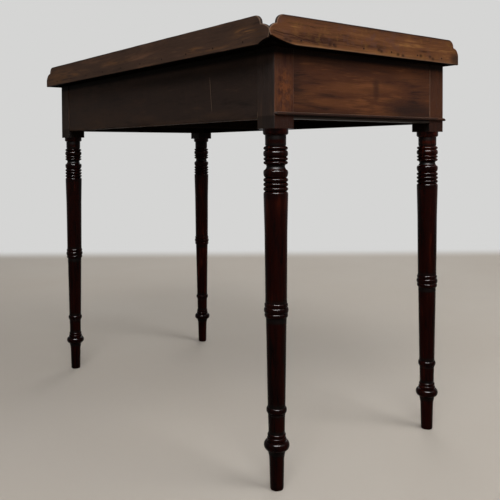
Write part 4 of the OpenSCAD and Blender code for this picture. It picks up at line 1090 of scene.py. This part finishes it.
def scroll_board(name, material, s, corner, extent, shape, mitred, seed):
    """A gallery board with scrolled ends. Each face is a grid over its length and height; near the
    rim it falls back by r - sqrt(r^2 - (r - d)^2), a quarter round of radius r at distance d. At a
    mitred end the back face turns onto the mitre, where the depth equals the distance from the end.
    corner is the board's start and its directions along and inward; extent its length, height and
    thickness; shape its lobe's length, then its sweep's length, height and power."""
    origin, along, inward = (np.array(row, float) for row in corner)
    length, height, thick = extent
    u, z = board_grid(s.gallery_arris, *board_outline(s, length, height, shape, seed))
    r, d = s.gallery_arris, edge_distance(u, z)
    fall = r - np.sqrt(np.clip(r ** 2 - np.clip(r - d, 0, r) ** 2, 0, None))
    inset = np.clip(d / (3 * MM), 0, 1)
    waves = [s.hand_wave * (0.5 + 0.5 * ripple(u, z * 3, 160 * MM, seed + k)) * inset for k in (5, 6)]
    front, back = fall + waves[0] + s.gallery_recess * inset, thick - fall - waves[1]
    for reach, joined in zip((u, length - u), mitred):
        if joined:
            front, back = np.minimum(front, 0.4 * reach), np.minimum(back, reach)
    outer_marks = rim_marks(s, np.minimum(u, length - u), d, shape[0])
    # On the inner face, under darkens the lowest 16 mm, which stand against the top board
    inner_marks = {"rim": outer_marks["rim"], "under": np.clip(2 - z / (8 * MM), 0, 1)}
    shell = Shell("rim", "arris", "under")
    grids = []
    face = origin + u[..., None] * along + z[..., None] * np.array([0, 0, 1.0])
    for depth, marks in ((front, outer_marks), (back, inner_marks)):
        grids.append(shell.skin(shell.lay(face + depth[..., None] * inward, **marks)))
    for side in (np.s_[0], np.s_[-1], np.s_[:, 0], np.s_[:, -1]):
        shell.skin(np.stack([grids[0][side], grids[1][side]]))
    return shell.piece(name, material, sharp=50)


class TABLE_OT_gallery(bpy.types.Operator):
    """Makes the three gallery boards with their scrolled ends"""
    bl_idname = "table.gallery"
    bl_label = "Gallery"

    def execute(self, context):
        tones, s = context.scene.table_tones, context.scene.table_boards
        left_lo, left_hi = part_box("gallery_left")
        right_lo, right_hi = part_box("gallery_right")
        back_lo, back_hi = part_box("gallery_back")
        height, thick = left_hi.z - left_lo.z, left_hi.x - left_lo.x
        side_extent = (left_hi.y - left_lo.y, height, thick)
        swept = (s.side_lobe_l, s.side_sweep_l, s.side_sweep_h, s.side_sweep_power)
        square = (s.side_lobe_l, 0.0, 0.0, 1.0)
        back = (s.back_lobe_l, s.back_sweep_l, s.back_sweep_h, s.back_sweep_power)
        boards = (
            ("gallery_left", gallery_wood(tones, "left_gallery_wood", 3.0, True), "gallery_wood",
             ((left_lo.x, left_hi.y, left_lo.z), (0, -1, 0), (1, 0, 0)),
             side_extent, swept, (True, False)),
            ("gallery_right", gallery_wood(tones, "right_gallery_wood", 5.0, False), "gallery_wood",
             ((right_hi.x, right_hi.y, right_lo.z), (0, -1, 0), (-1, 0, 0)),
             side_extent, square, (True, False)),
            ("gallery_back", back_gallery_wood(tones), "gallery_back_wood",
             ((back_lo.x, back_hi.y, back_lo.z), (1, 0, 0), (0, -1, 0)),
             (back_hi.x - back_lo.x, height, thick), back, (True, True)))
        for seed, (node, material, slot, corner, extent, shape, mitred) in enumerate(boards, 30):
            piece = scroll_board("scrolled_" + node, material, s, corner, extent, shape, mitred, seed)
            stand_in(piece, node)
        return {"FINISHED"}


def rounded_section(half_u, half_v, arris, steps=4, flats=8):
    """A rectangle's outline with quarter-round corners, anticlockwise, and its edge mark: 1 at a
    corner, fading over 4 mm from it."""
    corners = []
    for side_u, side_v, start in ((1, 1, 0), (-1, 1, 90), (-1, -1, 180), (1, -1, 270)):
        a = np.radians(start + np.linspace(0, 90, steps + 1))
        corners.append(np.stack([side_u * (half_u - arris) + arris * np.cos(a),
                                 side_v * (half_v - arris) + arris * np.sin(a)], axis=1))
    ease = (1 - np.cos(np.linspace(0, math.pi, flats + 2)[1:-1]))[:, None] / 2
    rows = []
    for corner, following in zip(corners, corners[1:] + corners[:1]):
        rows += [corner, corner[-1] + (following[0] - corner[-1]) * ease]
    outline = np.concatenate(rows)
    gap = half_u + half_v - np.abs(outline).sum(axis=1)
    return outline, np.clip(1 - gap / (4 * MM), 0, 1)


def tenoned_rail(name, material, s, axis, start, end, body, tenon, wear=None):
    """A rail with a tenon on each end, as one surface: rounded rectangles carried along an axis, which
    step from the rail's section to the tenon's at the shoulders. body and tenon are (lowest, highest)
    in the two directions across, and start and end the tenons' tips."""
    run = np.linspace(start + s.tenon_l, end - s.tenon_l, 160)
    stops = [(start, tenon), (run[0], tenon), *((station, body) for station in run),
             (run[-1], tenon), (end, tenon)]
    rings, marks = [], []
    for station, ((u_lo, u_hi), (v_lo, v_hi)) in stops:
        outline, edge = rounded_section((u_hi - u_lo) / 2, (v_hi - v_lo) / 2, s.rail_arris)
        middle = ((u_lo + u_hi) / 2, (v_lo + v_hi) / 2)
        rings.append(np.insert(middle + outline, axis, station, axis=1))
        marks.append(edge)
    points = np.array(rings)
    shell = Shell("edge")
    shell.tube(wear(points) if wear else points, edge=np.array(marks))
    return shell.piece(name, material, sharp=50)


class TABLE_OT_rails(bpy.types.Operator):
    """Makes the back rail and the two side rails, with their tenons"""
    bl_idname = "table.rails"
    bl_label = "Rails"

    def execute(self, context):
        tones, s = context.scene.table_tones, context.scene.table_boards
        inset, thick, shy = s.tenon_inset, s.tenon_t, s.tenon_shoulder
        side = side_rail_wood(tones)
        for node, outer, sense in (("side_rail_left", 0, 1), ("side_rail_right", 1, -1)):
            lo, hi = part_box(node)
            face = (lo.x, hi.x)[outer]
            tenon_x = sorted((face + sense * inset, face + sense * (inset + thick)))
            body, tenon = ((lo.x, hi.x), (lo.z, hi.z)), (tenon_x, (lo.z + shy, hi.z - shy))
            piece = tenoned_rail("jointed_" + node, side, s, ALONG_Y, lo.y, hi.y, body, tenon)
            stand_in(piece, node)
        lo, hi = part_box("back_rail")
        chip_x, chip_reach, chip_depth = -8 * MM, 30 * MM, 2.6 * MM

        def worn(points):
            """The lower outer arris is rubbed down unevenly, and has one shallow chip: the depth falls
            off from the arris by exp(-(d / 4 mm)^2), and from the chip by exp(-(dx / reach)^4)."""
            x, y, z = points[..., 0], points[..., 1], points[..., 2]
            near = np.exp(-(np.hypot(y - hi.y, z - lo.z) / (4 * MM)) ** 2)
            rub = s.worn_arris * (0.55 + 0.45 * ripple(x, 0 * x, 110 * MM, 77))
            chip = chip_depth * np.exp(-((x - chip_x) / chip_reach) ** 4)
            chip = chip * (0.75 + 0.25 * ripple(x, z, 12 * MM, 78))
            sunk = near * (rub + chip) * (np.abs(x) < hi.x - s.tenon_l - 1 * MM)
            return np.stack([x, y - 0.45 * sunk, z + 0.9 * sunk], axis=-1)

        body = ((lo.y, hi.y), (lo.z, hi.z))
        tenon = ((hi.y - inset - thick, hi.y - inset), (lo.z + shy, hi.z - shy))
        piece = tenoned_rail("jointed_back_rail", back_wood(tones), s, ALONG_X, lo.x, hi.x, body, tenon,
                             worn)
        stand_in(piece, "back_rail")
        return {"FINISHED"}


def nosed_section(height, out, steps=10):
    """Section of a strip with a half-round nose, as rows of projection and height, and its mark, the
    root of cos a round the nose and 0 at its foot."""
    a = np.linspace(-math.pi / 2, math.pi / 2, steps + 1)
    radius = height / 2
    reach = max(out - radius, 0.0) + min(radius, out) * np.cos(a)
    nose = np.stack([reach, radius + radius * np.sin(a)], axis=1)
    outline = np.concatenate([nose, [[0.0, height], [0.0, 0.0]]])
    return outline, np.concatenate([np.cos(a) ** 0.5, [0.0, 0.0]])


def bead_section(height, out, steps=10):
    """Section of the frieze bead: its top falls outwards as a quarter ellipse to the widest place, a
    third of the way up, and a smaller one turns in below it to a flat underside. The mark rises
    from 0 at the underside to half at the widest place, and from 0.6 to 1 over the slope above."""
    a = np.linspace(0, math.pi / 2, steps)
    belly = height / 3
    low = np.stack([out * (0.75 + 0.25 * np.sin(a)), belly * (1 - np.cos(a))], axis=1)
    high = np.stack([out * np.cos(a[1:]), belly + (height - belly) * np.sin(a[1:])], axis=1)
    mark = np.concatenate([0.5 * np.sin(a), 0.6 + 0.4 * np.sin(a[1:]) ** 3])
    return np.concatenate([low, high, [[0.0, 0.0]]]), np.concatenate([mark, [0.0]])


class TABLE_OT_beads(bpy.types.Operator):
    """Makes the bead moulding round three sides of the frieze"""
    bl_idname = "table.beads"
    bl_label = "Beads"

    def strip(self, name, material, s, corner, length, mitres):
        """A strip of the bead's section, mitred at a front corner and rounded off at a back end by a
        quarter ellipse. corner is its start and its directions along and out."""
        origin, along, out = (np.array(row, float) for row in corner)
        outline, mark = bead_section(s.bead_h, s.bead_out)
        round_off, mitre_l = 1.3 * s.bead_out, 10 * MM
        near_end = round_off * np.linspace(0, 1, 8) ** 1.5
        even = np.linspace(0.02, 0.98, 60) * length
        stations = np.unique(np.concatenate([near_end, even, length - near_end]))[:, None]
        swell = np.ones_like(stations)
        for gap, mitred in zip((stations, length - stations), mitres):
            if not mitred:
                fall = 1 - np.clip(gap / round_off, 0, 1)
                swell = swell * np.sqrt(np.clip(1 - fall ** 2, 0.06, 1))
        middle = s.bead_h / 2
        reach = outline[:, 0] * swell
        up = middle + (outline[:, 1] - middle) * (0.4 + 0.6 * swell)
        place = stations + 0 * reach
        if mitres[0]:
            place = place - reach * np.clip(1 - place / mitre_l, 0, 1)
        if mitres[1]:
            place = place + reach * np.clip(1 - (length - place) / mitre_l, 0, 1)
        rub = 0.25 * MM * np.clip(ripple(place, 0 * place, 50 * MM, 91), 0, 1) * mark
        points = origin + place[..., None] * along + (reach - rub)[..., None] * out
        shell = Shell("edge")
        shell.tube(points + up[..., None] * np.array([0, 0, 1.0]), edge=mark + 0 * place)
        return shell.piece(name, material, sharp=50)

    def execute(self, context):
        tones, s = context.scene.table_tones, context.scene.table_boards
        material = trim_wood(tones)
        rail_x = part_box("side_rail_left")[0].x
        lo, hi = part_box("bead_left")
        front_lo, front_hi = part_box("bead_front")
        front_y = front_lo.y + s.bead_out
        half = (front_hi.x - front_lo.x) / 2 - s.bead_out
        strips = (
            ("bead_left", ((rail_x, front_y, lo.z), (0, 1, 0), (-1, 0, 0)), hi.y - front_y, False),
            ("bead_right", ((-rail_x, front_y, lo.z), (0, 1, 0), (1, 0, 0)), hi.y - front_y, False),
            ("bead_front", ((-half, front_y, front_lo.z), (1, 0, 0), (0, -1, 0)), 2 * half, True))
        for node, corner, length, mitred in strips:
            piece = self.strip("rubbed_" + node, material, s, corner, length, (True, mitred))
            stand_in(piece, node)
        return {"FINISHED"}


class TABLE_OT_drawer_trim(bpy.types.Operator):
    """Makes the cockbead round each drawer front and its two turned knobs"""
    bl_idname = "table.drawer_trim"
    bl_label = "Cockbeads and knobs"

    def cockbead(self, name, node, material, s):
        """A thin frame with a rounded nose: its section is carried round the front's rectangle, mitred
        by moving each point in from both sides alike."""
        lo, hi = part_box(node)
        outline, mark = nosed_section(s.cockbead_t, hi.y - lo.y)
        half = np.array([(hi.x - lo.x) / 2, (hi.z - lo.z) / 2])
        middle = np.array([(hi.x + lo.x) / 2, (hi.z + lo.z) / 2])
        run = np.linspace(-1, 1, 50)[:-1]
        rim = np.ones_like(run)
        path = np.concatenate([np.stack(side, axis=1) for side in
                               ((run, -rim), (rim, run), (-run, rim), (-rim, -run))])
        flat = middle + path[:, None, :] * (half - outline[None, :, 1:])
        rub = 0.2 * MM * np.clip(ripple(path[:, :1] * 4, path[:, 1:] * 3, 1.0, 93), 0, 1) * mark
        y = hi.y - outline[:, 0] + rub
        shell = Shell("edge")
        index = shell.lay(np.stack([flat[..., 0], y, flat[..., 1]], axis=-1), edge=mark + 0 * y)
        shell.skin(np.concatenate([index, index[:1]]), wrap=True)
        return shell.piece(name, material, sharp=50)

    def knob(self, shell, s, radius, centre, levels):
        """A knob turned round an axis along Y: a spigot, a rose, a hollow neck whose radius swells by
        cos^2, and a head that is part of an ellipse. levels are its tip, the drawer's face and the
        spigot's end; centre is its X and Z."""
        tip, face, back = levels
        length, spigot, rose = face - tip, s.spigot_d / 2, s.rose_d / 2
        a = np.radians(np.linspace(-60, 90, 22)[:-1])
        head = np.stack([radius * np.cos(a), 0.75 * length + 0.25 * length * np.sin(a)], axis=1)
        hollow = s.neck_d / 2 + 1.2 * MM * np.cos(np.linspace(-2.2, 2.0, 10)) ** 2
        neck = np.stack([hollow, np.linspace(s.rose_t + 1 * MM, length / 2 - 2.4 * MM, 10)], axis=1)
        foot = [[spigot, face - back], [spigot, 0.0], [rose - 0.4 * MM, 0.0], [rose, 0.4 * MM],
                [rose, s.rose_t - 0.9 * MM], [rose - 0.8 * MM, s.rose_t]]
        outline = np.concatenate([foot, neck, head])
        angles = np.linspace(0, 2 * math.pi, 56, endpoint=False)
        r, out = outline[:, :1], outline[:, 1:]
        points = np.stack([centre[0] + r * np.cos(angles), face - out + 0 * angles,
                           centre[1] + r * np.sin(angles)], axis=-1)
        shell.tube(points, crest=crest_of(outline[:, 0], outline[:, 1])[:, None])

    def execute(self, context):
        scene = context.scene
        trim, wood = trim_wood(scene.table_tones), turned_wood(scene.table_tones)
        for side in ("left", "right"):
            node = side + "_drawer_cockbead"
            bead = self.cockbead("rubbed_" + node, node, trim, scene.table_boards)
            stand_in(bead, node)
            node = side + "_drawer_knobs"
            lo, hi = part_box(node)
            radius, levels = (hi.z - lo.z) / 2, (lo.y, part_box(side + "_drawer_front")[0].y, hi.y)
            shell = Shell("crest")
            for x in (lo.x + radius, hi.x - radius):
                self.knob(shell, scene.table_knobs, radius, (x, (lo.z + hi.z) / 2), levels)
            stand_in(shell.piece("turned_" + side + "_knobs", wood, sharp=50), node)
        return {"FINISHED"}


class TABLE_OT_finishes(bpy.types.Operator):
    """Gives every piece that keeps its drawn shape its own finish"""
    bl_idname = "table.finishes"
    bl_label = "Finishes"

    def execute(self, context):
        tones = context.scene.table_tones
        inside, metal = inside_wood(tones), iron(tones)
        across = drawer_wood(tones, "oak_across", ALONG_X, 14.0)
        deep = drawer_wood(tones, "oak_deep", ALONG_Y, 15.0)
        front = polished_wood(tones, "polished_front", 20.0, "left_drawer_front")
        rail = polished_wood(tones, "polished_rail", 22.0, "front_top_rail")
        finishes = {"top_board": polished_wood(tones, "polished_top", 21.0, "top_board"),
                    "front_top_rail": rail, "front_bottom_rail": rail, "drawer_divider": rail,
                    "top_screws": metal, "gallery_nails": metal}
        for side in ("left", "right"):
            for part, finish in (("front", front), ("back", across), ("bottom", across),
                                 ("inner_side", deep), ("outer_side", deep), ("nails", metal)):
                finishes[side + "_drawer_" + part] = finish
        for name, node in frame["nodes"].items():
            if not node.hide_render:
                node.data.materials.clear()
                node.data.materials.append(finishes.get(name, inside))
        return {"FINISHED"}


# Where the camera stands, in metres, the level direction in which it looks, its tilt in degrees,
# and how far the lens is shifted, because the photograph is cut from a larger picture
CAMERA_PLACE = (-1.2689, 0.9414, 0.5746)
HEADING = (0.7948, -0.6069)
PITCH, ROLL = -1.52, 0.301
LENS_SHIFT = (0.0277, -0.1634)
# Each lamp's width and height, its place and the point that it faces, in metres
LAMPS = {"key": (2.5, 2.5, (-3.4, -1.4, 3.4), (0.0, 0.0, 0.5)),
         "top": (2.0, 1.0, (-2.0, 1.5, 3.2), (-0.3, 0.1, 0.5)),
         "fill": (2.5, 2.5, (2.8, -3.2, 3.0), (0.0, 0.0, 0.5)),
         "sheen": (2.6, 0.7, (-1.9, 1.3, 2.6), (-0.4, 0.2, 0.6))}
FLOOR_RADIUS = 30.0


class TABLE_OT_studio(bpy.types.Operator):
    """Makes the plain floor, the soft light and the camera"""
    bl_idname = "table.studio"
    bl_label = "Studio"

    def floor(self, s):
        """A level disc whose colour turns into the background's: quickly at the foot of the backdrop,
        which stands square to the camera's heading, and slowly with distance everywhere else."""
        material, graph = new_material("studio_floor")
        level = graph.coordinates() * (1.0, 1.0, 0.0)
        x, y = level.parts()[:2]
        backdrop = (x * HEADING[0] + y * HEADING[1]).ease(s.backdrop_start, s.backdrop_end)
        grey = graph.noise(graph.coordinates(), 1.5, 3.0)
        colour = graph.mix(grey * 0.15, s.floor_tone, s.wall_tone)
        floor = graph.node("ShaderNodeBsdfDiffuse", None, Color=colour)
        glow = graph.node("ShaderNodeEmission", None, Color=s.wall_tone, Strength=1.0)
        far = level.length().ease(s.fade_start, s.fade_end).most(backdrop) * graph.seen()
        blend = graph.node("ShaderNodeMixShader", None, far, floor.outputs[0], glow.outputs[0])
        graph.node("ShaderNodeOutputMaterial", None, Surface=blend.outputs[0])
        radii = np.linspace(50 * MM, FLOOR_RADIUS, 40)[:, None]
        angles = np.linspace(0, 2 * math.pi, 64, endpoint=False)
        points = np.stack([radii * np.cos(angles), radii * np.sin(angles), 0 * radii * angles], axis=-1)
        shell = Shell()
        index = shell.skin(shell.lay(points), wrap=True)
        shell.cap(index[0])
        return shell.piece("studio_floor", material)

    def sky(self, scene, s):
        """The background, which the camera and every reflection see, and the room's own light: dim
        near the horizon and brighter overhead."""
        world = bpy.data.worlds.new("studio_sky")
        scene.world = world
        world.use_nodes = True
        graph = Graph(world.node_tree)
        upward = Place(graph, graph.node("ShaderNodeTexCoord").outputs["Generated"]).parts()[2]
        light = graph.mix(upward.ease(0.1, 1.0), (s.sky_low,) * 3, (s.sky_high,) * 3)
        colour = graph.mix(graph.seen(), light, s.wall_tone)
        sky = graph.node("ShaderNodeBackground", None, Color=colour, Strength=1.0)
        graph.node("ShaderNodeOutputWorld", None, Surface=sky.outputs[0])

    def lamp(self, name, power):
        """A soft lamp that the camera doesn't see, its width level."""
        width, height, place, aim = LAMPS[name]
        light = bpy.data.lights.new(name + "_light", "AREA")
        light.shape = "RECTANGLE"
        light.energy, light.size, light.size_y = power, width, height
        lamp = bpy.data.objects.new(name + "_light", light)
        bpy.context.scene.collection.objects.link(lamp)
        lamp.location = place
        lamp.rotation_mode = "QUATERNION"
        lamp.rotation_quaternion = (Vector(aim) - Vector(place)).to_track_quat("-Z", "Y")
        lamp.visible_camera = False
        return lamp

    def camera(self, scene, s):
        """Stands where the photograph was taken: low, off the back left corner, nearly level."""
        data = bpy.data.cameras.new("camera")
        data.lens, data.sensor_width = s.lens, 36.0
        data.shift_x, data.shift_y = LENS_SHIFT
        data.clip_start, data.clip_end = 0.05, 100.0
        camera = bpy.data.objects.new("camera", data)
        scene.collection.objects.link(camera)
        pitch, roll = math.radians(PITCH), math.radians(ROLL)
        forward = Vector((HEADING[0] * math.cos(pitch), HEADING[1] * math.cos(pitch), math.sin(pitch)))
        forward.normalize()
        level = forward.cross(Vector((0, 0, 1))).normalized()
        down = forward.cross(level)
        right = level * math.cos(roll) + down * math.sin(roll)
        up = level * math.sin(roll) - down * math.cos(roll)
        turn = Matrix((right, up, -forward)).transposed().to_4x4()
        camera.matrix_world = Matrix.Translation(CAMERA_PLACE) @ turn
        scene.camera = camera

    def execute(self, context):
        scene, s = context.scene, context.scene.table_studio
        scene.view_settings.view_transform = "Standard"
        self.floor(s)
        self.sky(scene, s)
        lamps = {name: self.lamp(name, getattr(s, name + "_power")) for name in LAMPS}
        lamps["sheen"].visible_diffuse = False
        self.camera(scene, s)
        return {"FINISHED"}


class TABLE_PT_panel(bpy.types.Panel):
    """Lists the table's pieces"""
    bl_label = "Writing table"
    bl_idname = "TABLE_PT_panel"
    bl_space_type = "VIEW_3D"
    bl_region_type = "UI"
    bl_category = "Table"

    def draw(self, context):
        for operator in OPERATORS:
            self.layout.operator(operator.bl_idname)


GROUPS = {"table_turning": TurningSizes, "table_boards": BoardSizes, "table_knobs": KnobSizes,
          "table_tones": WoodTones, "table_studio": StudioSettings}
OPERATORS = (TABLE_OT_legs, TABLE_OT_gallery, TABLE_OT_rails, TABLE_OT_beads, TABLE_OT_drawer_trim,
             TABLE_OT_finishes, TABLE_OT_studio)
CLASSES = (*GROUPS.values(), *OPERATORS, TABLE_PT_panel)


def register():
    """Registers the classes and puts the settings on the scene."""
    for each in CLASSES:
        bpy.utils.register_class(each)
    for name, group in GROUPS.items():
        setattr(bpy.types.Scene, name, PointerProperty(type=group))


def unregister():
    """Takes the settings and the classes away again."""
    for name in GROUPS:
        delattr(bpy.types.Scene, name)
    for each in CLASSES:
        bpy.utils.unregister_class(each)


def main():
    """Makes the table piece by piece."""
    register()
    bpy.ops.table.legs()
    bpy.ops.table.gallery()
    bpy.ops.table.rails()
    bpy.ops.table.beads()
    bpy.ops.table.drawer_trim()
    bpy.ops.table.finishes()
    bpy.ops.table.studio()


if __name__ == "__main__":
    main()
